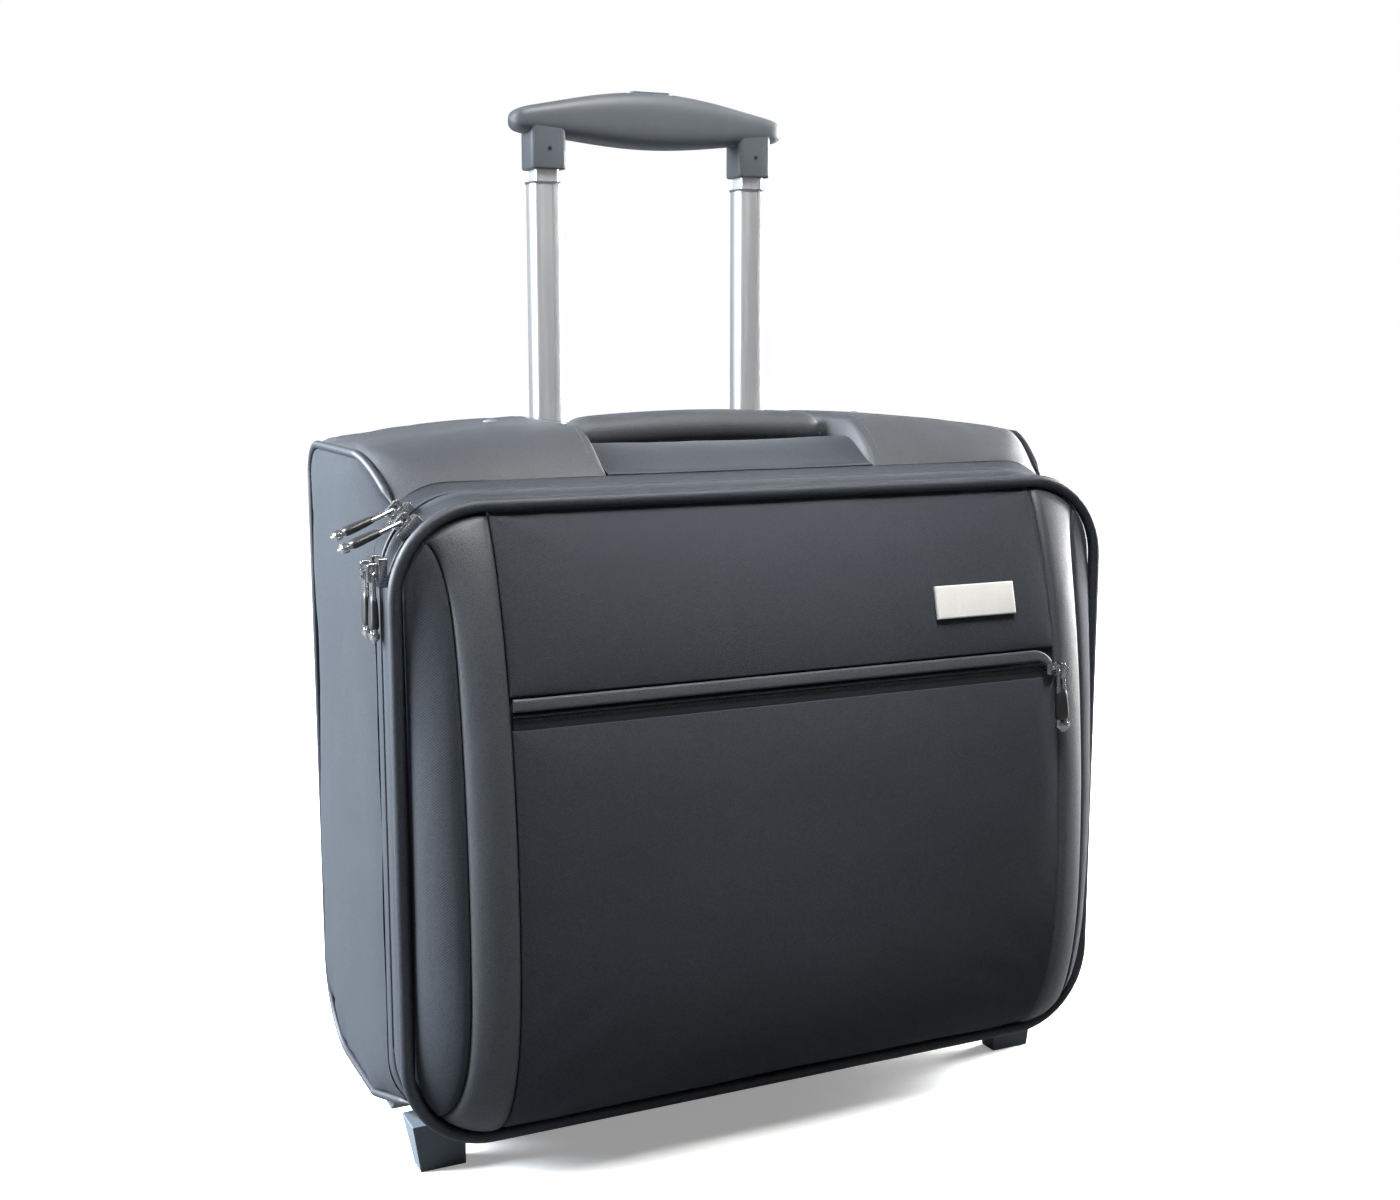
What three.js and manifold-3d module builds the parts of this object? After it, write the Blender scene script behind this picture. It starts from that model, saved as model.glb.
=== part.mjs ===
// A soft-sided pilot case on two wheels, with a telescopic trolley handle, two feet, a padded grab
// handle, a front lid with a zipped pocket, and a thin middle section between two parallel zips.
//
// Millimetres, +Z up. It is built standing on z = 0 with x = 0 in its middle and its front facing -Y,
// and moved at the end so that the middle of its bounding box is over the origin. The sewn pieces are
// thin closed sheets.

import * as THREE from "three";
import { mergeVertices } from "three/addons/utils/BufferGeometryUtils.js";
import Module from "manifold-3d";

const wasm = await Module();
wasm.setup();

// ---- Driving dimensions ----

const cloth = 3; // thickness of every padded panel
const gap = 0.3; // clearance between neighbouring pieces

const halfWidth = 216; // outer face of the side panels
const bottomZ = 27; // underside of the bag
const lidTopZ = 370; // top of the bag at the front zip
const mainZipTopZ = 375; // top of the bag at the main zip
const cornerR = 47; // front corners of the bag

const pipingY = -90; // front piping
const pipingR = 3.5;
const frontZipY = -74; // zip between the lid and the middle section
const mainZipY = -60; // zip between the middle section and the case
const rimBackY = -50; // where the rim meets the case panels
const backY = 100; // outer face of the back panel
const zipGap = 2.4; // width of a zip between the two bands that it joins

const sideTopZ = 394; // top of the side panels behind the front slope
const slopeY = -56; // where the slope of the top starts, behind the main zip
const topLevelY = -10; // where it ends
const rearTopR = 22;
const rearBottomR = 50;
const bodyCornerR = 10; // corners of the bag's section behind the front slope

const bulge = 42.5; // how far the front pillow stands out at its fullest
const bulgeZ = 145;
const seamX = 167; // seam between the centre panel and the trims
const trimX = 191.5; // seam between the trims and the side gores

const pocketZ = 263.5; // middle of the front pocket's zip
const pocketZipHeight = 9;

const tubeX = 69.4; // trolley tubes
const tubeY = 85;
const stageTopZ = 546; // top of the middle tubes as the trolley stands
const socketZ = 553.5;
const gripZ = 585;

const wheelY = 62;
const wheelR = 26;
const wheelX = 175;
const wheelWidth = 18;
const axleR = 3;

// ---- Materials ----

const colours = {
  fabric: { color: 0x34393f, roughness: 0.92, metalness: 0 },
  leather: { color: 0x4a4d50, roughness: 0.68, metalness: 0 },
  piping: { color: 0x23272b, roughness: 0.75, metalness: 0 },
  lining: { color: 0x6c7074, roughness: 0.95, metalness: 0 },
  plastic: { color: 0x474d53, roughness: 0.55, metalness: 0 },
  tyre: { color: 0x1b1c1d, roughness: 0.8, metalness: 0 },
  aluminium: { color: 0xb4b8bb, roughness: 0.35, metalness: 0.9 },
  steel: { color: 0x8d9196, roughness: 0.4, metalness: 0.9 },
  sliders: { color: 0x8f9296, roughness: 0.22, metalness: 1 },
  zip: { color: 0x17181a, roughness: 0.7, metalness: 0 },
  badge: { color: 0xd9d8d3, roughness: 0.4, metalness: 0.3 },
};

const group = new THREE.Group();

function add(name, finish, geometry) {
  const mesh = new THREE.Mesh(geometry, new THREE.MeshStandardMaterial(colours[finish]));
  mesh.name = name;
  group.add(mesh);
  return mesh;
}

// Calls make(side, name ending) for the left (-1) and the right (+1) half of the case.
function bothSides(make) {
  make(-1, "left");
  make(1, "right");
}

// ---- Shape helpers ----

const mix = THREE.MathUtils.lerp;
const clamp = THREE.MathUtils.clamp;
const radians = THREE.MathUtils.degToRad;

// Turns a closed geometry's faces outwards, whichever way its points were moved.
function facingOut(geometry) {
  const position = geometry.attributes.position;
  const index = geometry.index;
  const a = new THREE.Vector3();
  const b = new THREE.Vector3();
  const c = new THREE.Vector3();
  let volume = 0;
  for (let i = 0; i < index.count; i += 3) {
    a.fromBufferAttribute(position, index.getX(i));
    b.fromBufferAttribute(position, index.getX(i + 1));
    c.fromBufferAttribute(position, index.getX(i + 2));
    volume += a.dot(b.cross(c));
  }
  if (volume < 0) {
    for (let i = 0; i < index.count; i += 3) {
      const first = index.getX(i);
      index.setX(i, index.getX(i + 1));
      index.setX(i + 1, first);
    }
  }
  geometry.computeVertexNormals();
  return geometry;
}

// A closed sheet of across by along cells. place(u, v, w) gives each point as [x, y, z], with w = 0
// on the inner face and w = 1 on the outer one.
function sheet(across, along, place) {
  const geometry = new THREE.BoxGeometry(1, 1, 1, across, along, 1);
  const position = geometry.attributes.position;
  for (let i = 0; i < position.count; i += 1) {
    const u = position.getX(i) + 0.5;
    const v = position.getY(i) + 0.5;
    const w = position.getZ(i) + 0.5;
    position.setXYZ(i, ...place(u, v, w));
  }
  return facingOut(geometry);
}

// The shape's x, y become the model's x, z, and its thickness runs from frontY back to rearY.
function upright(shape, frontY, rearY, curveSegments = 6, steps = 1) {
  const depth = rearY - frontY;
  const geometry = new THREE.ExtrudeGeometry(shape, { depth, steps, bevelEnabled: false, curveSegments });
  return geometry.rotateX(Math.PI / 2).translate(0, rearY, 0);
}

// The shape's x, y become the model's y, z, and its thickness runs from x0 to x1.
function sideways(shape, x0, x1, curveSegments = 6) {
  const geometry = new THREE.ExtrudeGeometry(shape, { depth: x1 - x0, bevelEnabled: false, curveSegments });
  const turn = new THREE.Matrix4().makeBasis(
    new THREE.Vector3(0, 1, 0),
    new THREE.Vector3(0, 0, 1),
    new THREE.Vector3(1, 0, 0),
  );
  return geometry.applyMatrix4(turn).translate(x0, 0, 0);
}

// The shape stays level and stands from z0 up to z1.
function standing(shape, z0, z1, curveSegments = 2) {
  const geometry = new THREE.ExtrudeGeometry(shape, { depth: z1 - z0, bevelEnabled: false, curveSegments });
  return geometry.translate(0, 0, z0);
}

function box(x0, x1, y0, y1, z0, z1) {
  const geometry = new THREE.BoxGeometry(x1 - x0, y1 - y0, z1 - z0);
  return geometry.translate((x0 + x1) / 2, (y0 + y1) / 2, (z0 + z1) / 2);
}

// A rod along X.
function rod(radius, x0, x1, y, z, segments = 16) {
  const geometry = new THREE.CylinderGeometry(radius, radius, x1 - x0, segments);
  return geometry.rotateZ(Math.PI / 2).translate((x0 + x1) / 2, y, z);
}

// A rod on a wheel's axis, between two distances from the middle of the case.
function crossRod(side, radius, near, far) {
  const [x0, x1] = side > 0 ? [near, far] : [-far, -near];
  return rod(radius, x0, x1, wheelY, wheelR, 12);
}

function roundedRect(x0, x1, y0, y1, r) {
  const shape = new THREE.Shape();
  shape.moveTo(x0 + r, y0);
  shape.lineTo(x1 - r, y0);
  shape.absarc(x1 - r, y0 + r, r, -Math.PI / 2, 0);
  shape.lineTo(x1, y1 - r);
  shape.absarc(x1 - r, y1 - r, r, 0, Math.PI / 2);
  shape.lineTo(x0 + r, y1);
  shape.absarc(x0 + r, y1 - r, r, Math.PI / 2, Math.PI);
  shape.lineTo(x0, y0 + r);
  shape.absarc(x0 + r, y0 + r, r, Math.PI, Math.PI * 1.5);
  return shape;
}

// A turned piece about the X axis, from a closed profile of [radius, x] pairs.
function turned(profile, segments) {
  const points = profile.map(([r, x]) => new THREE.Vector2(r, x));
  return facingOut(new THREE.LatheGeometry(points, segments).rotateZ(Math.PI / 2));
}

function polygon(...points) {
  return new THREE.Shape(points.map(([x, y]) => new THREE.Vector2(x, y)));
}

function solid(geometry) {
  const bare = geometry.clone();
  bare.deleteAttribute("normal");
  bare.deleteAttribute("uv");
  const merged = mergeVertices(bare, 1e-4);
  return new wasm.Manifold(new wasm.Mesh({
    numProp: 3,
    vertProperties: new Float32Array(merged.attributes.position.array),
    triVerts: new Uint32Array(merged.index.array),
  }));
}

function geometryOf(manifold) {
  const mesh = manifold.getMesh();
  const geometry = new THREE.BufferGeometry();
  geometry.setAttribute("position", new THREE.BufferAttribute(mesh.vertProperties, 3));
  geometry.setIndex(new THREE.BufferAttribute(mesh.triVerts, 1));
  geometry.computeVertexNormals();
  return geometry;
}

function cut(geometry, ...tools) {
  let result = solid(geometry);
  for (const tool of tools) {
    result = result.subtract(solid(tool));
  }
  return geometryOf(result);
}

function join(...pieces) {
  let result = solid(pieces[0]);
  for (const piece of pieces.slice(1)) {
    result = result.add(solid(piece));
  }
  return geometryOf(result);
}

// ---- Outlines of the bag ----

// The top of the bag's sides: a step up between the zips, then a slope, and level to the rear corner.
function topZ(y) {
  const slope = clamp((y - slopeY) / (topLevelY - slopeY), 0, 1);
  const level = zipTopZ(y) + (sideTopZ - mainZipTopZ) * Math.sin(slope * Math.PI / 2);
  const past = Math.max(0, y - (backY - rearTopR));
  return level - rearTopR + Math.sqrt(Math.max(0, rearTopR ** 2 - past ** 2));
}

function zipTopZ(y) {
  return mix(lidTopZ, mainZipTopZ, THREE.MathUtils.smoothstep(y, frontZipY + 4, mainZipY - 4));
}

function bagBottomZ(y) {
  const past = Math.max(0, y - (backY - rearBottomR));
  return bottomZ + rearBottomR - Math.sqrt(Math.max(0, rearBottomR ** 2 - past ** 2));
}

// Front corners are wide, and tighten over the slope of the top.
function sectionR(y) {
  const slope = clamp((y - mainZipY) / (topLevelY - mainZipY), 0, 1);
  return mix(cornerR, bodyCornerR, slope);
}

// A point halfway round a corner of the bag's section, where the side panels are sewn on.
function seamInset(y) {
  return sectionR(y) * (1 - Math.SQRT1_2);
}

// A band of the soft front: a ring of cloth round the bag between two planes. Its upper half follows
// the height of the top.
function ring(frontY, rearY, steps) {
  const shape = roundedRect(-halfWidth, halfWidth, bottomZ, lidTopZ, cornerR);
  const r = cornerR - cloth;
  shape.holes.push(roundedRect(-halfWidth + cloth, halfWidth - cloth, bottomZ + cloth, lidTopZ - cloth, r));
  const geometry = upright(shape, frontY, rearY, 5, steps);
  const position = geometry.attributes.position;
  for (let i = 0; i < position.count; i += 1) {
    const z = position.getZ(i);
    if (z > (bottomZ + lidTopZ) / 2) {
      position.setZ(i, z + topZ(position.getY(i)) - lidTopZ);
    }
  }
  return geometry;
}

// A flat board inside a ring.
function board(frontY, rearY) {
  const inset = cloth + 2 * gap;
  const half = halfWidth - inset;
  const outline = roundedRect(-half, half, bottomZ + inset, lidTopZ - inset, cornerR - inset);
  return upright(outline, frontY, rearY, 5);
}

// ---- Case ----

// Side panel: it wraps halfway round the top and bottom corners of the section.
function sidePanel(side) {
  const arcShare = 0.25;
  return sheet(9, 8, (u, v, w) => {
    const y = mix(rimBackY, backY - 8, Math.sin(u * Math.PI / 2));
    const r = sectionR(y);
    const inset = (1 - w) * cloth;
    const tuck = 2.2 * cloth * clamp((y - (backY - rearBottomR)) / rearBottomR, 0, 1);
    const low = bagBottomZ(y) + r + tuck;
    const high = topZ(y) - r - tuck;
    const lowTurn = clamp(1 - v / arcShare, 0, 1) * Math.PI / 4;
    const highTurn = clamp((v - 1 + arcShare) / arcShare, 0, 1) * Math.PI / 4;
    const turn = Math.max(lowTurn, highTurn);
    const straight = clamp((v - arcShare) / (1 - 2 * arcShare), 0, 1);
    const x = halfWidth - r + (r - inset) * Math.cos(turn);
    const z = mix(low, high, straight) + (r - inset) * (Math.sin(highTurn) - Math.sin(lowTurn));
    return [side * x, y, z];
  });
}

const handleBayX = 84; // half the width of the bay between the top corner panels
const bayZ = 383; // floor of the bay that the grab handle lies in
const crown = 11; // how far the corner panels rise towards the bay
const levelShare = 0.75; // share of the top strip that lies ahead of the rear corner

// A point of the strip over the top and down the rear corner: v runs along it, and sink is how far
// the point lies below the strip's face.
function topStrip(x, v, sink, level) {
  const flatEnd = backY - rearTopR;
  const y = mix(rimBackY, flatEnd, clamp(v / levelShare, 0, 1));
  const turn = clamp((v - levelShare) / (1 - levelShare), 0, 1) * Math.PI / 2;
  const r = rearTopR - sink;
  const lift = mix(topZ(rimBackY), level, slopeShare(y)) - sideTopZ;
  return [x, y + r * Math.sin(turn), sideTopZ - rearTopR + (r + lift) * Math.cos(turn)];
}

// How far up the slope of the top a point lies, from 0 at the rim to 1.
function slopeShare(y) {
  return Math.sin(clamp((y - rimBackY) / (topLevelY - rimBackY), 0, 1) * Math.PI / 2);
}

function stripY(v) {
  return mix(rimBackY, backY - rearTopR, clamp(v / levelShare, 0, 1));
}

// Half of a strip's width: its edge turns halfway round the section's corner. share is 0 at the edge
// and 1 where the corner ends, and the point comes back as [x, sink].
function cornerPoint(y, share, w) {
  const r = sectionR(y);
  const turn = mix(Math.PI / 4, Math.PI / 2, share);
  const reach = r - (1 - w) * cloth;
  const slip = (1 - share) * gap;
  return [halfWidth - r + reach * Math.cos(turn) - slip, r - reach * Math.sin(turn) - slip];
}

function topCorner(side) {
  const arcShare = 0.3;
  const foldShare = 0.9;
  return sheet(10, 8, (u, v, w) => {
    const y = stripY(v);
    const [edgeX, sink] = cornerPoint(y, clamp(u / arcShare, 0, 1), w);
    const x = mix(edgeX, handleBayX + gap, clamp((u - arcShare) / (foldShare - arcShare), 0, 1));
    const rise = clamp((halfWidth - x) / (halfWidth - handleBayX), 0, 1);
    const hump = crown * Math.sin(rise * Math.PI / 2);
    const point = topStrip(x, v, sink, sideTopZ + hump);
    const fold = clamp((u - foldShare) / (1 - foldShare), 0, 1) * slopeShare(y);
    return [side * point[0], point[1], point[2] - fold * 2];
  });
}

function topPanel() {
  const rear = (bezelFrontY - gap - rimBackY) / (backY - rearTopR - rimBackY) * levelShare;
  return sheet(6, 6, (u, v, w) => {
    return topStrip(mix(-handleBayX, handleBayX, u), v * rear, (1 - w) * cloth, bayZ);
  });
}

function backPanel() {
  const top = sideTopZ - rearTopR - gap;
  const bottom = bottomZ + rearBottomR + gap;
  const half = halfWidth - seamInset(backY) - 4 * gap;
  return box(-half, half, backY - cloth, backY, bottom, top);
}

// The strip up the rear corner and along the bottom, with a hole for each wheel housing.
function basePanel() {
  const bendShare = 0.35;
  const cornerShare = 0.15;
  const strip = sheet(8, 10, (u, v, w) => {
    const turn = clamp((bendShare - v) / bendShare, 0, 1) * Math.PI / 2;
    const y = mix(backY - rearBottomR, rimBackY, clamp((v - bendShare) / (1 - bendShare), 0, 1));
    const fromEdge = Math.min(u, 1 - u) / cornerShare;
    const [edgeX, sink] = cornerPoint(y, clamp(fromEdge, 0, 1), w);
    const across = clamp((u - cornerShare) / (1 - 2 * cornerShare), 0, 1);
    const r = rearBottomR - sink;
    return [mix(-edgeX, edgeX, across), y + r * Math.sin(turn), bottomZ + rearBottomR - r * Math.cos(turn)];
  });
  return cut(strip, housingArch(-1, gap), housingArch(1, gap));
}

// Piping round the outer edge of a side panel, from the rim, over the top and back to the rim.
function sidePiping(side) {
  const r = 3;
  const out = r * Math.SQRT1_2 + 2 * gap;
  const start = rimBackY + r;
  const steps = 5;
  const points = [];
  const slope = (edgeZ, up) => {
    for (let i = 0; i <= steps; i += 1) {
      const y = mix(start, topLevelY, (up > 0 ? i : steps - i) / steps);
      const inset = seamInset(y);
      points.push(new THREE.Vector3(side * (halfWidth - inset + out), y, edgeZ(y) + up * (out - inset)));
    }
  };
  const bend = (centreZ, radius, from) => {
    const reach = radius + out - 1.5;
    const x = side * (halfWidth - seamInset(backY) + out);
    for (let i = 0; i <= steps; i += 1) {
      const turn = from - (i / steps) * Math.PI / 2;
      const y = backY - radius + reach * Math.cos(turn);
      points.push(new THREE.Vector3(x, y, centreZ + reach * Math.sin(turn)));
    }
  };
  slope(topZ, 1);
  bend(sideTopZ - rearTopR, rearTopR, Math.PI / 2);
  bend(bottomZ + rearBottomR, rearBottomR, 0);
  slope(bagBottomZ, -1);
  return cord(points, r, new THREE.Vector3(1, 0, 0));
}

// A round cord through points that lie nearly in one plane.
function cord(points, radius, planeNormal) {
  const sides = 6;
  const rings = points.length - 1;
  const geometry = new THREE.CylinderGeometry(1, 1, 1, sides, rings);
  const position = geometry.attributes.position;
  for (let i = 0; i < position.count; i += 1) {
    const step = Math.round((position.getY(i) + 0.5) * rings);
    const before = points[Math.max(0, step - 1)];
    const after = points[Math.min(rings, step + 1)];
    const along = after.clone().sub(before).normalize();
    const across = new THREE.Vector3().crossVectors(planeNormal, along).normalize();
    const level = new THREE.Vector3().crossVectors(along, across);
    const point = points[step].clone();
    point.addScaledVector(across, radius * position.getX(i));
    point.addScaledVector(level, radius * position.getZ(i));
    position.setXYZ(i, point.x, point.y, point.z);
  }
  return facingOut(geometry);
}

// A panel inside the back that keeps the trolley tubes out of the main compartment.
const coverFrontY = 66;
function trolleyCover() {
  const half = halfWidth - cloth - 4;
  const notchX = wheelX - wheelWidth / 2 - 12;
  const low = bagBottomZ(coverFrontY + cloth) + cloth + 2;
  const notchZ = wheelR * 2 + 10;
  const top = bayZ - cloth - 2;
  const right = [[half, notchZ], [half, top]];
  const left = [[-half, top], [-half, notchZ]];
  return upright(
    polygon([-notchX, low], [notchX, low], [notchX, notchZ], ...right, ...left, [-notchX, notchZ]),
    coverFrontY,
    coverFrontY + cloth,
  );
}

// A foot tapers towards the floor and has a sloping rear face.
function foot(side) {
  const top = bottomZ - gap;
  const profile = polygon([-58, 0], [-46, 0], [-36, top], [-58, top]);
  const wedge = sideways(profile, 176, 206, 1);
  const position = wedge.attributes.position;
  for (let i = 0; i < position.count; i += 1) {
    const draft = position.getX(i) > 190 ? 4 * (1 - position.getZ(i) / top) : 0;
    position.setX(i, side * (position.getX(i) - draft));
  }
  const merged = mergeVertices(wedge.deleteAttribute("normal").deleteAttribute("uv"), 1e-4);
  return facingOut(merged);
}

// ---- Wheels ----

const wellR = wheelR + 2.5;
const forkOuterX = wheelX + wheelWidth / 2 + 6;
const forkInnerX = wheelX - wheelWidth / 2 - 6;

// The arch over a wheel, thickened by grow.
function housingArch(side, grow) {
  const r = wellR + 4 + grow;
  const shape = new THREE.Shape();
  shape.moveTo(wheelY + r, wheelR);
  shape.absarc(wheelY, wheelR, r, 0, Math.PI);
  shape.lineTo(wheelY - r, bottomZ - 12);
  shape.lineTo(wheelY + r, bottomZ - 12);
  const x0 = side > 0 ? forkInnerX - grow : -forkOuterX - grow;
  const x1 = side > 0 ? forkOuterX + grow : -forkInnerX + grow;
  return sideways(shape, x0, x1, 10);
}

// Wheel housing: an arch, with fork plates down to the axle and a skid that hugs the bag's corner.
function wheelHousing(side) {
  const skidIn = 150;
  const skidOut = 206;
  const thick = 8;
  const rearTurn = radians(52);
  const centreY = backY - rearBottomR;
  const centreZ = bottomZ + rearBottomR;
  const r = rearBottomR + gap;
  const skid = new THREE.Shape();
  skid.moveTo(-22, bottomZ - gap);
  skid.lineTo(centreY, bottomZ - gap);
  skid.absarc(centreY, centreZ, r, -Math.PI / 2, -Math.PI / 2 + rearTurn);
  skid.absarc(centreY, centreZ, r + thick * 0.7, -Math.PI / 2 + rearTurn, -Math.PI / 2, true);
  skid.lineTo(-14, bottomZ - thick);
  skid.closePath();
  const x0 = side > 0 ? skidIn : -skidOut;
  const x1 = side > 0 ? skidOut : -skidIn;
  const body = join(housingArch(side, 0), sideways(skid, x0, x1, 8));
  const wellHalf = wheelWidth / 2 + 1.5;
  const wellX0 = side * wheelX - wellHalf;
  const wellX1 = side * wheelX + wellHalf;
  return cut(
    body,
    rod(wellR, wellX0, wellX1, wheelY, wheelR, 28),
    box(wellX0, wellX1, wheelY - wellR, wheelY + wellR, -1, wheelR),
    crossRod(side, axleR + gap, forkInnerX - 10, forkOuterX + 20),
    crossRod(side, headR + gap, forkOuterX - headDepth - gap, forkOuterX + 20),
  );
}

const hubR = 17;
function hub(side) {
  const half = wheelWidth / 2 - 1;
  const recess = 2.5;
  const profile = [
    [axleR + 0.1, -half],
    [7, -half],
    [9, -half + recess],
    [14, -half + recess],
    [hubR - 1, -half],
    [hubR, -half + 1],
    [hubR, half - 1],
    [hubR - 1, half],
    [14, half - recess],
    [9, half - recess],
    [7, half],
    [axleR + 0.1, half],
    [axleR + 0.1, -half],
  ];
  return turned(profile, 20).translate(side * wheelX, wheelY, wheelR);
}

// A tyre with rounded shoulders.
function tyre(side) {
  const half = wheelWidth / 2;
  const bore = hubR + gap;
  const shoulder = 4;
  const steps = 3;
  const profile = [[bore, -half]];
  for (const end of [-1, 1]) {
    for (let i = 0; i <= steps; i += 1) {
      const turn = (end < 0 ? i : steps - i) / steps * Math.PI / 2;
      profile.push([
        wheelR - shoulder + shoulder * Math.sin(turn),
        end * (half - shoulder + shoulder * Math.cos(turn)),
      ]);
    }
  }
  profile.push([bore, half], [bore, -half]);
  return turned(profile, 24).translate(side * wheelX, wheelY, wheelR);
}

// An axle with a head sunk in the outer fork plate.
const headR = axleR + 1.5;
const headDepth = 2.5;
function axle(side) {
  const outer = forkOuterX - headDepth;
  const inner = forkInnerX + 1;
  const face = forkOuterX - gap;
  return join(crossRod(side, axleR, inner, outer), crossRod(side, headR, outer, face));
}

// ---- Trolley ----

const outerTube = { width: 23, depth: 22.4, wall: 1.6, z0: 74, z1: 391 };
const middleTube = { width: 18.8, depth: 18.2, wall: 1.1, z0: 226, z1: stageTopZ };
const innerTube = { width: 15.4, depth: 14.8, wall: 1, z0: 236, z1: socketZ + 14 };
const bezelFrontY = tubeY - 12;

// A rounded rectangular tube standing at side * tubeX.
function tube(side, size) {
  const x = side * tubeX;
  const halfW = size.width / 2;
  const halfD = size.depth / 2;
  const shape = roundedRect(x - halfW, x + halfW, tubeY - halfD, tubeY + halfD, 2.5);
  const w = size.wall;
  shape.holes.push(roundedRect(x - halfW + w, x + halfW - w, tubeY - halfD + w, tubeY + halfD - w, 2.5 - w));
  return standing(shape, size.z0, size.z1);
}

// A block with the tube's own section as a hole or a plug.
function tubeBlock(side, width, depth, z0, z1, r = 2) {
  const x = side * tubeX;
  const shape = roundedRect(x - width / 2, x + width / 2, tubeY - depth / 2, tubeY + depth / 2, r);
  return standing(shape, z0, z1);
}

// A socket joins an inner tube to the grip.
function socket(side) {
  const width = 22;
  const depth = 22;
  const top = gripZ - 14;
  const body = tubeBlock(side, width, depth, socketZ, top, 3);
  const mouthWidth = innerTube.width + 2 * gap;
  const mouth = tubeBlock(side, mouthWidth, innerTube.depth + 2 * gap, socketZ - 1, innerTube.z1 + gap);
  const x = side * tubeX;
  const pinHole = new THREE.CylinderGeometry(1.3, 1.3, 3, 12).translate(x, tubeY - depth / 2, socketZ + 12);
  return cut(body, mouth, pinHole);
}

// The grip arches along X and ends in rounded bulbs.
function grip() {
  const half = 91;
  const geometry = new THREE.CylinderGeometry(1, 1, 2, 16, 16);
  const position = geometry.attributes.position;
  for (let i = 0; i < position.count; i += 1) {
    const t = position.getY(i);
    const bulb = Math.sqrt(Math.max(0.02, 1 - Math.abs(t) ** 12));
    const swell = 1 - 0.3 * t * t;
    const x = half * Math.sin(t * Math.PI / 2) * 0.16 + half * t * 0.84;
    const deep = 13.5 * bulb;
    const tall = 14.5 * swell * bulb;
    const arch = -4 * t * t;
    position.setXYZ(i, x, tubeY + position.getX(i) * deep, gripZ + 1 + arch + position.getZ(i) * tall);
  }
  const body = facingOut(geometry);
  const well = (side) => tubeBlock(side, 22 + 2 * gap, 22 + 2 * gap, 540, gripZ - 14 + gap, 3);
  const button = buttonShape(gap, gripZ + 8, gripZ + 30);
  return cut(body, well(-1), well(1), button);
}

function buttonShape(grow, z0, z1) {
  const shape = roundedRect(-15 - grow, 15 + grow, tubeY - 6 - grow, tubeY + 6 + grow, 5);
  return standing(shape, z0, z1, 5);
}

// The bezel closes the rear top corner and guides the tubes.
function bezel() {
  const half = handleBayX - gap;
  const top = sideTopZ + 5;
  const under = outerTube.z1 + gap;
  const skirtZ = sideTopZ - rearTopR + gap;
  const profile = polygon(
    [bezelFrontY, under],
    [backY - cloth, under],
    [backY - cloth, skirtZ],
    [backY, skirtZ],
    [backY, top - 5],
    [backY - 5, top],
    [bezelFrontY, top],
  );
  const slack = 0.8; // play of a tube in its mouth
  const mouthDepth = middleTube.depth + slack;
  const mouth = (side) => tubeBlock(side, middleTube.width + slack, mouthDepth, under - 5, top + 5, 2.5);
  return cut(sideways(profile, -half, half, 1), mouth(-1), mouth(1));
}

// The bracket that the fixed tubes stand on.
function tubeBracket() {
  const z0 = 62;
  const z1 = outerTube.z0 - gap;
  const [front, rear, wall] = [73, 90, 4];
  const inside = [[rear - wall, z1], [rear - wall, z0 + wall], [front + wall, z0 + wall], [front + wall, z1]];
  const channel = polygon([front, z0], [rear, z0], [rear, z1], ...inside, [front, z1]);
  const web = sideways(channel, -94, 94, 1);
  const pad = (side) => box(side * tubeX - 12, side * tubeX + 12, 74, 89, z0 + 1, z1);
  return join(web, pad(-1), pad(1));
}

// ---- Grab handle and rivets ----

const handleY = 18;
const handleZ = 396;
const handleR = 11;

function grabHandle() {
  const half = handleBayX - cloth - 6;
  const geometry = new THREE.CylinderGeometry(1, 1, 2, 12, 10);
  const position = geometry.attributes.position;
  for (let i = 0; i < position.count; i += 1) {
    const t = position.getY(i);
    const r = handleR * Math.sqrt(Math.max(0.12, 1 - Math.abs(t) ** 8));
    const z = handleZ - 2 * t * t + position.getZ(i) * r;
    position.setXYZ(i, half * t, handleY + position.getX(i) * r * 1.15, z);
  }
  return facingOut(geometry);
}

const rivetY = 38;
function rivet(side) {
  const x = side * 122;
  const along = (rivetY - rimBackY) / (backY - rearTopR - rimBackY) * levelShare;
  const seat = topStrip(x, along, 0, sideTopZ + crown);
  const dome = [[0, 0.2], [4.5, 0.2], [4.5, 1], [3, 2.2], [0, 2.6]];
  const profile = dome.map(([r, h]) => new THREE.Vector2(r, h));
  return new THREE.LatheGeometry(profile, 12).rotateX(Math.PI / 2).translate(x, seat[1], seat[2] + 0.6);
}

// ---- Middle section ----

function organizerPocket() {
  return box(-190, 190, -72, -67, 60, 250);
}

// ---- Front lid ----

// Height of the pillow above the piping plane.
function pillow(x, z) {
  const limits = lidSpan(x);
  const above = z > bulgeZ;
  const d = above ? (z - bulgeZ) / (limits.top - bulgeZ) : (bulgeZ - z) / (bulgeZ - limits.bottom);
  const fall = clamp(d, 0, 1);
  const upDown = above ? (1 - fall ** 2) ** 0.75 : (1 - fall ** 2.5) ** 0.6;
  const edge = clamp((Math.abs(x) - 150) / (lidHalf - 150), 0, 1);
  return bulge * upDown * (1 - edge ** 2.5) ** 0.75;
}

// The lid's panels end inside the piping.
const lidEdge = pipingR + 2 * gap;
const lidHalf = halfWidth + 1 - lidEdge;

function lidSpan(x) {
  const r = cornerR - lidEdge;
  const past = clamp(Math.abs(x) - (lidHalf - r), 0, r);
  const drop = r - Math.sqrt(r ** 2 - past ** 2);
  return { bottom: bottomZ + 2.5 + lidEdge + drop, top: lidTopZ - lidEdge - drop };
}

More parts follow.
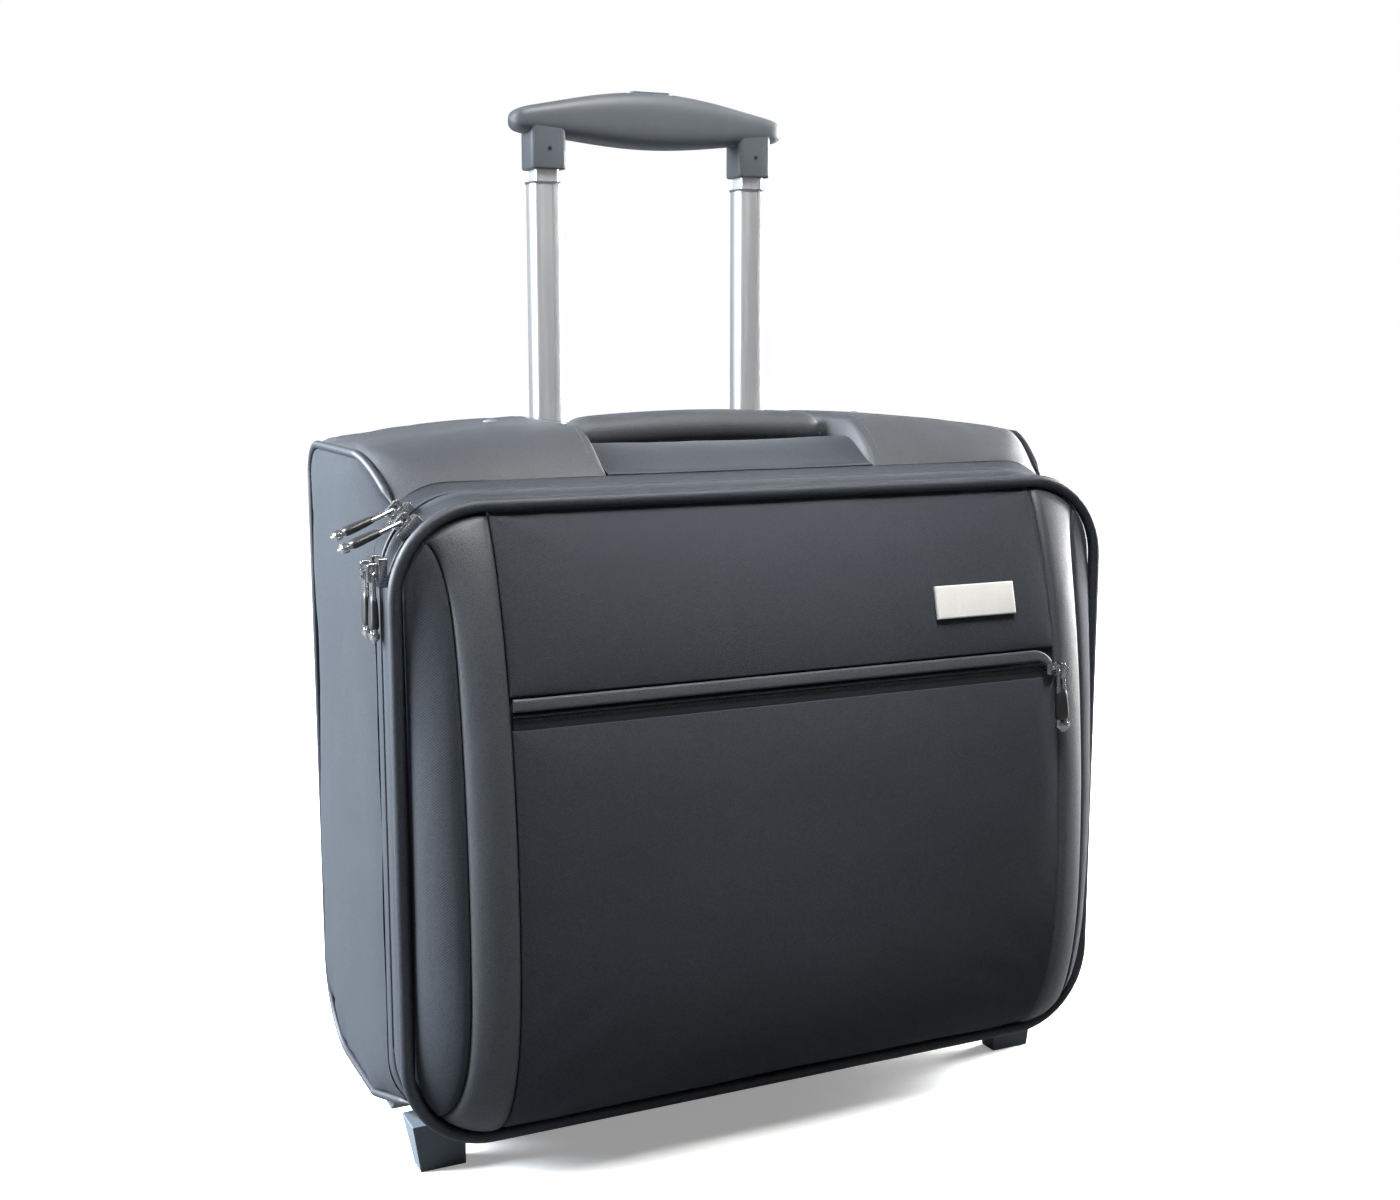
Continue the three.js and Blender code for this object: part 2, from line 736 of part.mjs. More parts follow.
function lidPoint(x, z, w) {
  return [x, pipingY - pillow(x, z) + (1 - w) * cloth, z];
}

// The centre of the lid between two heights.
function centrePanel(z0, z1, rows) {
  return sheet(4, rows, (u, v, w) => lidPoint(mix(-seamX, seamX, u), mix(z0, z1, v), w));
}

// The outer seam of a trim swings out to meet the piping at both ends.
function trimEdge(v) {
  return trimX + 9 * Math.abs(2 * v - 1) ** 8;
}

function trim(side) {
  return sheet(3, 14, (u, v, w) => {
    const x = mix(seamX + gap, trimEdge(v) - gap, u);
    const span = lidSpan(x);
    return lidPoint(side * x, mix(span.bottom, span.top, v), w);
  });
}

// The gore closes the side of the pillow, from the trim to the piping.
function gore(side) {
  return sheet(3, 14, (u, v, w) => {
    const inner = trimEdge(v);
    const span = lidSpan(inner);
    const z = mix(span.bottom, span.top, v);
    const r = cornerR - lidEdge;
    const past = Math.max(0, z - (lidTopZ - lidEdge - r), bottomZ + 2.5 + lidEdge + r - z);
    const outer = lidHalf - r + Math.sqrt(Math.max(0, r ** 2 - past ** 2));
    const x = mix(inner, Math.max(outer, inner + 0.8), u);
    return lidPoint(side * x, z, w);
  });
}

// Piping round the lid, with its ends meeting at the bottom.
function lidPiping() {
  const half = halfWidth + 1;
  const low = bottomZ + 2.5;
  const points = [new THREE.Vector3(gap, pipingY, low)];
  const bend = (cx, cz, from) => {
    const steps = 6;
    for (let i = 0; i <= steps; i += 1) {
      const turn = from + (i / steps) * Math.PI / 2;
      points.push(new THREE.Vector3(cx + cornerR * Math.cos(turn), pipingY, cz + cornerR * Math.sin(turn)));
    }
  };
  bend(half - cornerR, low + cornerR, -Math.PI / 2);
  bend(half - cornerR, lidTopZ - cornerR, 0);
  bend(cornerR - half, lidTopZ - cornerR, Math.PI / 2);
  bend(cornerR - half, low + cornerR, Math.PI);
  points.push(new THREE.Vector3(-gap, pipingY, low));
  return cord(points, pipingR, new THREE.Vector3(0, 1, 0));
}

// A small plate that lies on the slope of the pillow.
function badge() {
  return sheet(1, 1, (u, v, w) => {
    const x = mix(86, 139, u);
    const z = mix(296, 314, v);
    return [x, pipingY - pillow(x, z) - 0.8 - 1.4 * w, z];
  });
}

// ---- Zip sliders ----

// A slider stands on z = 0 and runs along X: a body with a bridge that holds the pull's bar.
const slider = { length: 15, width: 8, height: 5, bridge: 10.4, eyeZ: 7.4, eyeR: 1.7 };
const pullLength = 36;

function sliderBody(bridgeTurn = 0) {
  const body = new THREE.Shape();
  const half = slider.length / 2;
  body.moveTo(-half, -slider.width * 0.3);
  body.lineTo(-half * 0.3, -slider.width / 2);
  body.lineTo(half, -slider.width / 2);
  body.lineTo(half, slider.width / 2);
  body.lineTo(-half * 0.3, slider.width / 2);
  body.lineTo(-half, slider.width * 0.3);
  body.closePath();
  const bridge = roundedRect(-5, 5, slider.height - 1, slider.bridge, 1.8);
  bridge.holes.push(roundedRect(-3, 3, slider.eyeZ - slider.eyeR, slider.eyeZ + slider.eyeR, 1));
  const arch = upright(bridge, -1.5, 1.5, 1).rotateZ(bridgeTurn);
  return join(standing(body, 0.6, slider.height, 1), arch);
}

// A pull lies along -X from its bar at the origin: a bar, a window round the bridge, and a long tab.
function pullBody() {
  const tab = roundedRect(-pullLength, 0.8, -4.2, 4.2, 0.8);
  tab.holes.push(roundedRect(-8.5, -0.8, -2.3, 2.3, 0.6));
  tab.holes.push(roundedRect(-28, -12, -2, 2, 1.6));
  return standing(tab, -0.8, 0.8, 1);
}

// Puts a slider and its pull at a point of a main zip. normalTurn turns the slider about Y from
// standing up, and pullTurn lifts the pull off the surface.
function zipSlider(name, place, normalTurn, pullTurn) {
  const holder = new THREE.Group();
  holder.position.set(...place);
  holder.rotation.y = normalTurn;
  group.add(holder);
  const body = add(`${name}_slider`, "sliders", sliderBody());
  holder.add(body);
  const pull = add(`${name}_pull`, "sliders", pullBody());
  pull.position.z = slider.eyeZ;
  pull.rotation.y = pullTurn;
  holder.add(pull);
}

// The pocket's slider stands on the pillow, with its bridge turned so that the pull hangs down.
function pocketSlider() {
  const x = 164;
  const holder = new THREE.Group();
  holder.position.set(x, pipingY - pillow(x, pocketLowZ) - 0.4, pocketZ);
  holder.rotation.x = Math.PI / 2;
  group.add(holder);
  holder.add(add("pocket_slider", "sliders", sliderBody(Math.PI / 2)));
  const pull = add("pocket_pull", "sliders", pullBody());
  pull.position.z = slider.eyeZ;
  pull.rotation.z = Math.PI / 2;
  holder.add(pull);
}

// ---- Assembly ----

add("case_rim", "fabric", ring(mainZipY + zipGap / 2, rimBackY - gap, 3));
add("top_panel", "fabric", topPanel());
add("back_panel", "fabric", backPanel());
add("base_panel", "fabric", basePanel());
add("trolley_cover", "lining", trolleyCover());
add("tube_bezel", "plastic", bezel());
add("tube_bracket", "plastic", tubeBracket());
bothSides((side, end) => {
  add(`side_panel_${end}`, "fabric", sidePanel(side));
  add(`top_corner_${end}`, "leather", topCorner(side));
  add(`side_piping_${end}`, "piping", sidePiping(side));
  add(`foot_${end}`, "plastic", foot(side));
  add(`wheel_housing_${end}`, "plastic", wheelHousing(side));
  add(`axle_${end}`, "steel", axle(side));
  add(`wheel_hub_${end}`, "plastic", hub(side));
  add(`tyre_${end}`, "tyre", tyre(side));
  add(`outer_tube_${end}`, "steel", tube(side, outerTube));
  add(`middle_tube_${end}`, "aluminium", tube(side, middleTube));
  add(`inner_tube_${end}`, "aluminium", tube(side, innerTube));
  add(`tube_socket_${end}`, "plastic", socket(side));
  add(`rivet_${end}`, "steel", rivet(side));
  add(`front_trim_${end}`, "leather", trim(side));
  add(`front_gore_${end}`, "fabric", gore(side));
});
add("grip", "plastic", grip());
add("grip_button", "plastic", buttonShape(0, gripZ + 8 + 4, gripZ + 17.5));
add("grab_handle", "leather", grabHandle());

add("middle_band", "fabric", ring(frontZipY + zipGap / 2, mainZipY - zipGap / 2, 3));
add("divider_panel", "lining", board(-66, -63));
add("organizer_pocket", "lining", organizerPocket());

add("lid_gusset", "fabric", ring(pipingY + pipingR + gap, frontZipY - zipGap / 2, 1));
add("lid_lining", "lining", board(-85.5, -83));
add("lid_piping", "piping", lidPiping());
const pocketLowZ = pocketZ - pocketZipHeight / 2;
const pocketHighZ = pocketZ + pocketZipHeight / 2;
const lidLowZ = lidSpan(0).bottom;
const lidHighZ = lidSpan(0).top;
add("front_panel_lower", "fabric", centrePanel(lidLowZ, pocketLowZ - gap, 12));
add("front_panel_upper", "fabric", centrePanel(pocketHighZ + gap, lidHighZ, 8));
add("pocket_zip", "zip", centrePanel(pocketLowZ, pocketHighZ, 1));
add("badge_plate", "badge", badge());

const arcX = cornerR - halfWidth;
const quarter = Math.PI / 4;
const sideSliderZ = 336;
for (const [name, y] of [["front_zip", frontZipY], ["main_zip", mainZipY]]) {
  const arcZ = topZ(y) - cornerR;
  const reach = cornerR * Math.SQRT1_2;
  zipSlider(`${name}_top`, [arcX - reach, y, arcZ + reach], -quarter, radians(23));
  zipSlider(`${name}_side`, [-halfWidth, y, sideSliderZ], -Math.PI / 2, 0);
}
pocketSlider();

// ---- Origin ----

// The pulls stand out on one side and the pillow in front, so the middle of the whole is a little
// off the middle of the bag.
const middle = new THREE.Box3().setFromObject(group).getCenter(new THREE.Vector3());
group.position.set(-middle.x, -middle.y, 0);

export default group;
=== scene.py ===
"""The looks of a pilot rolling flight case, built round its CAD frame.

Everything is in metres in the bag's own frame: x = 0 is the middle of the bag, y = 0 is 100 mm ahead
of its back, z = 0 is the floor, and the front faces -Y. HOME carries that frame to the row frame.
"""
import math

import bpy
import numpy as np
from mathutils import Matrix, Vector, noise


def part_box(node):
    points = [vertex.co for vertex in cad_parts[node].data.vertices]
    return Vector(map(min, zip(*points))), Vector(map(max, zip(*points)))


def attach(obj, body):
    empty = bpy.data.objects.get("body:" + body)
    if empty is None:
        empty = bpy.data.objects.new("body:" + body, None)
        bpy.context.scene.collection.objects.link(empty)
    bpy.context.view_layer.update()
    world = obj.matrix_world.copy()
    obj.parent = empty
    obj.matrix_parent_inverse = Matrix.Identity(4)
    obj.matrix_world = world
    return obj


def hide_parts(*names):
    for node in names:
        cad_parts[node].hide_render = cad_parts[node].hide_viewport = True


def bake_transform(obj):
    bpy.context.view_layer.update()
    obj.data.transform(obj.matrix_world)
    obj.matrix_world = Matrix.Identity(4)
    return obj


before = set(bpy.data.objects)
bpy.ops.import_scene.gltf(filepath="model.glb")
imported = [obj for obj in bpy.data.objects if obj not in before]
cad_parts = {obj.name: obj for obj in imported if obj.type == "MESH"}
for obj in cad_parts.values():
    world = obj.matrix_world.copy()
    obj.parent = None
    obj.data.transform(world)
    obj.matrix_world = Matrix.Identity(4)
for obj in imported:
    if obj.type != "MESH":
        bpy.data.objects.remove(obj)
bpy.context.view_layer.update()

MM = 0.001
SIDES = (("left", -1), ("right", 1))
HOME = Vector((sum(corner.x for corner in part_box("case_rim")) / 2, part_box("back_panel")[1].y - 100 * MM, 0))


def box(node):
    """The lowest and highest corners of a CAD node in the bag's own frame."""
    low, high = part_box(node)
    return low - HOME, high - HOME


# ---- Sizes, from the frame ----

rim_low, rim_high = box("case_rim")
gusset_low, gusset_high = box("lid_gusset")
band_low, band_high = box("middle_band")
piping_low, piping_high = box("lid_piping")
back_low, back_high = box("back_panel")
bezel_low, bezel_high = box("tube_bezel")
lower_low, lower_high = box("front_panel_lower")
upper_low, upper_high = box("front_panel_upper")

CLOTH = 3 * MM  # thickness of a padded panel
GAP = 0.3 * MM
HALF = rim_high.x  # outer faces of the bag
BOTTOM = rim_low.z
LID_TOP = piping_high.z - 3.5 * MM  # top of the bag at the front zip
MAIN_TOP = LID_TOP + 5 * MM  # top of the bag at the main zip
SIDE_TOP = bezel_high.z - 5 * MM  # top of the bag behind its front slope
BACK = back_high.y
RIM_BACK = rim_high.y + GAP
FRONT_ZIP = (gusset_high.y + band_low.y) / 2
MAIN_ZIP = (band_high.y + rim_low.y) / 2
PIPING_R = (piping_high.y - piping_low.y) / 2
PIPING_Y = (piping_high.y + piping_low.y) / 2
CORNER = 47 * MM  # radius of the bag's front corners
BODY_CORNER = 10 * MM  # radius of its corners behind the slope
SLOPE_START = -56 * MM
SLOPE_END = -10 * MM
REAR_TOP_R = 22 * MM
REAR_BOTTOM_R = 50 * MM
BAY_X = -bezel_low.x + GAP  # half the width of the bay between the top corner panels
BAY_FLOOR = 383 * MM
CROWN = 11 * MM
SEAM_X = lower_high.x  # seam between the front panels and the trims
TRIM_X = 191.5 * MM
BULGE = PIPING_Y - lower_low.y
BULGE_Z = 145 * MM  # height of the pillow's fullest part


def clamp(value, low=0.0, high=1.0):
    return max(low, min(high, value))


def mix(a, b, share):
    return a + (b - a) * share


def smooth(share):
    share = clamp(share)
    return share * share * (3 - 2 * share)


def zip_top(y):
    """Height of the bag's top at the zips: a small step up between the two."""
    return mix(LID_TOP, MAIN_TOP, smooth((y - FRONT_ZIP - 4 * MM) / (MAIN_ZIP - FRONT_ZIP - 8 * MM)))


def bag_top(y):
    slope = math.sin(clamp((y - SLOPE_START) / (SLOPE_END - SLOPE_START)) * math.pi / 2)
    past = max(0.0, y - (BACK - REAR_TOP_R))
    fall = REAR_TOP_R - math.sqrt(max(0.0, REAR_TOP_R**2 - past**2))
    return zip_top(y) + (SIDE_TOP - MAIN_TOP) * slope - fall


def bag_bottom(y):
    past = max(0.0, y - (BACK - REAR_BOTTOM_R))
    return BOTTOM + REAR_BOTTOM_R - math.sqrt(max(0.0, REAR_BOTTOM_R**2 - past**2))


def section_r(y):
    """Radius of the corners of the bag's section, wide at the front and tight behind the slope."""
    return mix(CORNER, BODY_CORNER, clamp((y - MAIN_ZIP) / (SLOPE_END - MAIN_ZIP)))


def seam_inset(y):
    return section_r(y) * (1 - math.sqrt(0.5))


# ---- Materials ----


class Finish:
    """A node material, with short names for the nodes that it is made from."""

    def __init__(self, name, colour, roughness, **surface):
        self.material = bpy.data.materials.new(name)
        self.material.use_nodes = True
        self.tree = self.material.node_tree
        self.surface = self.tree.nodes["Principled BSDF"]
        self.material.diffuse_color = (*colour, 1)
        self.set(Base_Color=(*colour, 1), Roughness=roughness, **surface)
        self.place = self.tree.nodes.new("ShaderNodeTexCoord")

    def set(self, **values):
        for name, value in values.items():
            self.feed(self.surface.inputs[name.replace("_", " ")], value)

    def feed(self, socket, value):
        if isinstance(value, bpy.types.NodeSocket):
            self.tree.links.new(value, socket)
        elif value is not None:
            socket.default_value = value

    def node(self, kind, *values, **settings):
        made = self.tree.nodes.new("ShaderNode" + kind)
        for name, value in settings.items():
            setattr(made, name, value)
        for socket, value in zip(made.inputs, values):
            self.feed(socket, value)
        return made

    def math(self, operation, *values):
        return self.node("Math", *values, operation=operation).outputs[0]

    def vector(self, operation, *values):
        made = self.node("VectorMath", *values, operation=operation)
        return made.outputs["Value" if operation == "DOT_PRODUCT" else "Vector"]

    def noise(self, size, detail=2.0, stretch=(1, 1, 1)):
        """Noise whose features are about `size` metres across, from 0 to 1."""
        place = self.vector("MULTIPLY", self.place.outputs["Object"], stretch)
        made = self.node("TexNoise")
        self.feed(made.inputs["Vector"], place)
        self.feed(made.inputs["Scale"], 1 / size)
        self.feed(made.inputs["Detail"], detail)
        return made.outputs[0]

    def cells(self, size):
        """Distance from the borders of cells about `size` metres across."""
        made = self.node("TexVoronoi", feature="DISTANCE_TO_EDGE")
        self.feed(made.inputs["Vector"], self.place.outputs["Object"])
        self.feed(made.inputs["Scale"], 1 / size)
        return made.outputs["Distance"]

    def weave(self, pitch):
        """Crossing threads on whichever plane the surface lies nearest to, from -1 to 1."""
        turns = self.vector("SCALE", self.place.outputs["Object"])
        self.feed(turns.node.inputs["Scale"], math.pi / pitch)
        waves = self.node("SeparateXYZ", self.vector("SINE", turns)).outputs
        pairs = ((1, 2), (0, 2), (0, 1))
        crossings = [self.math("MULTIPLY", waves[a], waves[b]) for a, b in pairs]
        normal = self.place.outputs["Normal"]
        weight = self.vector("MULTIPLY", normal, normal)
        return self.vector("DOT_PRODUCT", self.node("CombineXYZ", *crossings).outputs[0], weight)

    def blend(self, share, low, high, start=0.0, end=1.0):
        """A colour between low and high, as share goes from start to end."""
        ramp = self.node("ValToRGB", share)
        stops = ramp.color_ramp.elements
        stops[0].position, stops[1].position = start, end
        stops[0].color, stops[1].color = (*low, 1), (*high, 1)
        return ramp.outputs["Color"]

    def tint(self, colour, share, amount):
        """Darkens and lightens a colour as share goes from 0 to 1."""
        factor = self.node("MapRange", share, 0.0, 1.0, 1 - amount, 1 + amount).outputs[0]
        return self.vector("SCALE", colour, None, None, factor)

    def range(self, share, low, high, start=0.0, end=1.0):
        return self.node("MapRange", share, start, end, low, high).outputs[0]

    def bump(self, height, depth, under=None):
        made = self.node("Bump")
        self.feed(made.inputs["Strength"], 1.0)
        self.feed(made.inputs["Distance"], depth)
        self.feed(made.inputs["Height"], height)
        if under is not None:
            self.feed(made.inputs["Normal"], under)
        return made.outputs["Normal"]


def cloth_finish(name, dark, light, pitch, roughness, sheen, depth=0.12 * MM):
    """Woven cloth: threads that catch the light, uneven dye and a soft sheen."""
    finish = Finish(name, light, roughness, Specular_IOR_Level=0.12)
    threads = finish.math("MULTIPLY_ADD", finish.weave(pitch), 0.5, 0.5)
    colour = finish.blend(threads, dark, light)
    colour = finish.tint(colour, finish.noise(pitch * 1.6, 3.0), 0.35)
    colour = finish.tint(colour, finish.noise(90 * MM, 2.0), 0.12)
    finish.set(Base_Color=colour, Sheen_Weight=sheen, Sheen_Roughness=0.45)
    finish.set(Sheen_Tint=(0.85, 0.92, 1.0, 1))
    soft = finish.bump(finish.noise(16 * MM, 2.0), 0.25 * MM)
    finish.set(Normal=finish.bump(threads, depth, soft))
    finish.set(Roughness=finish.range(finish.noise(40 * MM), roughness - 0.06, roughness + 0.06))
    return finish.material


def leather_finish(name, dark, light, roughness, grain=1.3 * MM, depth=0.09 * MM):
    """Grained leatherette, paler and smoother where it is rubbed."""
    finish = Finish(name, light, roughness, Specular_IOR_Level=0.3)
    pores = finish.range(finish.cells(grain), 0.0, 1.0, 0.0, 0.22)
    colour = finish.blend(pores, dark, light)
    colour = finish.tint(colour, finish.noise(60 * MM, 3.0), 0.14)
    soft = finish.bump(finish.noise(11 * MM, 3.0), 0.3 * MM)
    finish.set(Base_Color=colour, Normal=finish.bump(pores, depth, soft))
    finish.set(Roughness=finish.range(finish.noise(25 * MM, 3.0), roughness - 0.07, roughness + 0.07))
    finish.set(Coat_Weight=0.03, Coat_Roughness=0.4)
    return finish.material


def plastic_finish(name, colour, roughness, depth=0.05 * MM):
    """Moulded plastic with a fine spark texture and faint scuffs."""
    finish = Finish(name, colour, roughness, Specular_IOR_Level=0.5)
    base = finish.blend(finish.noise(0.6 * MM, 2.0), [c * 0.85 for c in colour], [c * 1.15 for c in colour])
    scuffs = finish.noise(9 * MM, 5.0, (1, 1, 0.25))
    finish.set(Base_Color=finish.tint(base, scuffs, 0.1))
    finish.set(Roughness=finish.range(scuffs, roughness - 0.08, roughness + 0.08))
    finish.set(Normal=finish.bump(finish.noise(0.7 * MM, 2.0), depth))
    return finish.material


def metal_finish(name, colour, roughness, stretch, streak=0.12):
    """Metal brushed along one axis, with fine streaks in its shine."""
    finish = Finish(name, colour, roughness, Metallic=1.0)
    streaks = finish.noise(0.5 * MM, 3.0, stretch)
    finish.set(Base_Color=finish.tint(finish.blend(streaks, colour, colour), streaks, streak))
    finish.set(Roughness=finish.range(streaks, roughness - 0.08, roughness + 0.1))
    finish.set(Normal=finish.bump(streaks, 0.008 * MM))
    return finish.material


CHARCOAL_DARK = (0.014, 0.016, 0.019)
CHARCOAL_LIGHT = (0.046, 0.051, 0.059)
BRUSHED_ALONG_Z = (1, 1, 0.01)

FINISHES = {
    "fabric": cloth_finish("charcoal_weave", CHARCOAL_DARK, CHARCOAL_LIGHT, 0.75 * MM, 0.9, 0.015),
    "leather": leather_finish("charcoal_leatherette", (0.034, 0.037, 0.042), (0.052, 0.056, 0.062), 0.44, 1.1 * MM, 0.05 * MM),
    # the same leatherette made rougher, and painted darker as shade to hold back the top light on the top corner
    # panels; the grab handle and its straps share it
    "matte_and_top_shade": leather_finish("rough_top_shaded_leatherette", (0.022, 0.024, 0.028), (0.034, 0.037, 0.042), 0.55, 1.1 * MM, 0.05 * MM),
    "piping": leather_finish("piping_cord", (0.012, 0.014, 0.018), (0.028, 0.032, 0.040), 0.5, 0.9 * MM, 0.04 * MM),
    "lining": cloth_finish("lining_nylon", (0.030, 0.033, 0.040), (0.075, 0.080, 0.092), 0.45 * MM, 0.6, 0.1, 0.06 * MM),
    "plastic": plastic_finish("moulded_plastic", (0.088, 0.102, 0.120), 0.55),
    "grip": plastic_finish("grip_plastic", (0.090, 0.100, 0.113), 0.5, 0.035 * MM),
    "tyre": plastic_finish("tyre_rubber", (0.022, 0.022, 0.023), 0.72, 0.09 * MM),
    "aluminium": metal_finish("satin_aluminium", (0.76, 0.77, 0.78), 0.42, BRUSHED_ALONG_Z),
    "steel": metal_finish("plain_steel", (0.36, 0.37, 0.39), 0.4, (0.02, 1, 1)),
    "sliders": metal_finish("dark_chrome", (0.40, 0.40, 0.41), 0.24, (1, 1, 1), 0.05),
    "zip": cloth_finish("zip_tape", (0.008, 0.009, 0.011), (0.022, 0.024, 0.028), 0.5 * MM, 0.7, 0.1),
    "teeth": plastic_finish("zip_coil", (0.016, 0.017, 0.020), 0.34, 0.01 * MM),
    "thread": plastic_finish("thread", (0.034, 0.037, 0.042), 0.6, 0.02 * MM),
    "insert": plastic_finish("pull_insert", (0.010, 0.010, 0.011), 0.4, 0.02 * MM),
    "badge": plastic_finish("badge_plate", (0.52, 0.515, 0.50), 0.4, 0.01 * MM),
}


# ---- Meshes ----


def piece(name, points, faces, finish, body, replaces=(), insides=()):
    """A new smooth mesh that rides on a body. insides are the faces that show the lining."""
    mesh = bpy.data.meshes.new(name)
    mesh.from_pydata([tuple(p) for p in np.array(points, float) + np.array(HOME)], [], faces)
    mesh.materials.append(FINISHES[finish])
    mesh.materials.append(FINISHES["lining"])
    for index in insides:
        mesh.polygons[index].material_index = 1
    mesh.polygons.foreach_set("use_smooth", [True] * len(mesh.polygons))
    mesh.set_sharp_from_angle(angle=math.radians(52))
    mesh.update()
    made = bpy.data.objects.new(name, mesh)
    bpy.context.scene.collection.objects.link(made)
    if body is not None:
        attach(made, body)
    if replaces:
        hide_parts(*replaces)
    return made


def bend(made, still, moving, start, end):
    """Bakes a piece's placing into its mesh; the piece is joined to neither body."""
    Vector(start) + HOME
    Vector(end) + HOME
    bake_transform(made)


def spread(length, step):
    """Shares from 0 to 1 along a length, close together at both ends, where an edge rolls under."""
    ends = np.array([0, 0.35, 0.9, 1.7, 2.8, 4.2]) * MM
    count = max(2, round((length - 11 * MM) / step))
    inner = np.linspace(5.8 * MM, length - 5.8 * MM, count)
    return np.concatenate([ends, inner, length - ends[::-1]]) / length


def ripple(point, size):
    return noise.noise(Vector(point) / size)


def grid_faces(rows, columns, start=0, flip=False, closed=False):
    """Faces of a grid of points in rows; closed joins the last column to the first."""
    faces = []
    for row in range(rows - 1):
        for column in range(columns if closed else columns - 1):
            beside = (column + 1) % columns
            a, b = start + row * columns + column, start + row * columns + beside
            quad = (a, b, b + columns, a + columns)
            faces.append(quad[::-1] if flip else quad)
    return faces


def panel(name, us, vs, face, body, finish, replaces=(), thick=CLOTH, roll=3 * MM, drop=0.55,
          puff=0.8 * MM, slack=0.5 * MM, looks=None, flush=(), cap=0.0, pressure=4.0):
    """A padded panel: face(u, v) is its outer face, and its edges roll under by drop x thick.

    puff is how far it swells away from its seams, and slack the height of its soft unevenness.
    looks is the way the outer face looks; it looks away from the middle of the bag if that is left out.
    flush names the edges that meet their neighbour level: u0, u1, v0 or v1. A panel with a cap is
    blown up by a cloth simulation, in which no point moves further than that.
    """
    outer = np.array([[face(u, v) for u in us] for v in vs], float)
    normal = np.cross(np.gradient(outer, axis=1), np.gradient(outer, axis=0))
    normal /= np.maximum(np.linalg.norm(normal, axis=2, keepdims=True), 1e-12)
    away = outer - np.array([0, 0, 0.2]) if looks is None else np.broadcast_to(looks, outer.shape)
    outward = (normal * away).sum() > 0
    if not outward:
        normal = -normal
    edge = edge_distance(outer, flush)
    dip = drop * thick * (1 - np.sqrt(1 - (1 - np.clip(edge / roll, 0, 1)) ** 2))
    swell = puff * (1 - np.exp(-edge / (9 * MM)))
    uneven = np.array([[ripple(p, 55 * MM) + 0.35 * ripple(p, 18 * MM) for p in row] for row in outer])
    rise = swell + slack * uneven * np.clip(edge / (12 * MM), 0, 1) - dip
    inner = outer - normal * thick
    outer = outer + normal * rise[..., None]
    rows, columns = len(vs), len(us)
    count = rows * columns
    points = np.concatenate([outer.reshape(-1, 3), inner.reshape(-1, 3)])
    flip = outward
    faces = grid_faces(rows, columns, flip=not flip)
    border = [*range(columns), *range(2 * columns - 1, count, columns)]
    border += [*range(count - 2, count - columns - 1, -1), *range(count - 2 * columns, 0, -columns)]
    insides = range(len(faces), 2 * len(faces))
    faces += grid_faces(rows, columns, count, flip=flip)
    for here, beside in zip(border, border[1:] + border[:1]):
        wall = (here, beside, beside + count, here + count)
        faces.append(wall if not flip else wall[::-1])
    made = piece(name, points, faces, finish, body, replaces, insides)
    if cap > 0:
        inflate(made, count, edge_distance(outer).ravel(), cap, pressure)
    return made


def inflate(made, rest_count, edge, cap, pressure):
    """Blows a padded panel up a little: a cloth simulation with its seams and its back pinned.

    The first rest_count points are the outer face, edge is their distance from the seams, and cap is
    how far a point may move. The result is written to the mesh, so no simulation stays on the piece.
    """
    mesh = made.data
    pinned = made.vertex_groups.new(name="pinned")
    held = [i for i in range(rest_count) if edge[i] < 1.2 * MM]
    pinned.add(held + list(range(rest_count, len(mesh.vertices))), 1.0, "REPLACE")
    cloth = made.modifiers.new("swelling", "CLOTH")
    cloth.settings.quality = 4
    cloth.settings.vertex_group_mass = "pinned"
    cloth.settings.tension_stiffness = 10
    cloth.settings.compression_stiffness = 10
    cloth.settings.bending_stiffness = 0.3
    cloth.settings.use_pressure = True
    cloth.settings.uniform_pressure_force = pressure
    cloth.settings.effector_weights.gravity = 0
    scene = bpy.context.scene
    for number in range(1, 21):
        scene.frame_set(number)
    settled = made.evaluated_get(bpy.context.evaluated_depsgraph_get()).data
    rest = np.array([v.co for v in mesh.vertices])
    move = np.array([v.co for v in settled.vertices]) - rest
    length = np.maximum(np.linalg.norm(move, axis=1, keepdims=True), 1e-9)
    move *= cap * np.tanh(length / cap) / length
    made.modifiers.remove(cloth)
    mesh.vertices.foreach_set("co", (rest + move).ravel())
    mesh.update()
    scene.frame_set(1)


def edge_distance(grid, flush=()):
    """Distance of each point of a grid of points from the grid's nearest edge that isn't flush."""
    def along(points, names):
        steps = np.linalg.norm(np.diff(points, axis=1), axis=2)
        run = np.concatenate([np.zeros((len(points), 1)), np.cumsum(steps, axis=1)], axis=1)
        far = 1.0  # a metre: further than any edge
        start = far if names[0] in flush else run
        end = far if names[1] in flush else run[:, -1:] - run
        return np.minimum(start, end) + np.zeros_like(run)
    return np.minimum(along(grid, ("u0", "u1")), along(grid.transpose(1, 0, 2), ("v0", "v1")).T)


def frames_along(points, up, closed=False):
    """Tangent, side and lift at each point of a path; up is a fixed direction or one per point."""
    points = np.array(points, float)
    if closed:
        ahead, behind = np.roll(points, -1, axis=0), np.roll(points, 1, axis=0)
    else:
        ahead = np.concatenate([points[1:], points[-1:]])
        behind = np.concatenate([points[:1], points[:-1]])
    tangent = ahead - behind
    tangent /= np.linalg.norm(tangent, axis=1, keepdims=True)
    side = np.cross(tangent, np.broadcast_to(up, points.shape))
    side /= np.linalg.norm(side, axis=1, keepdims=True)
    return points, tangent, side, np.cross(side, tangent)


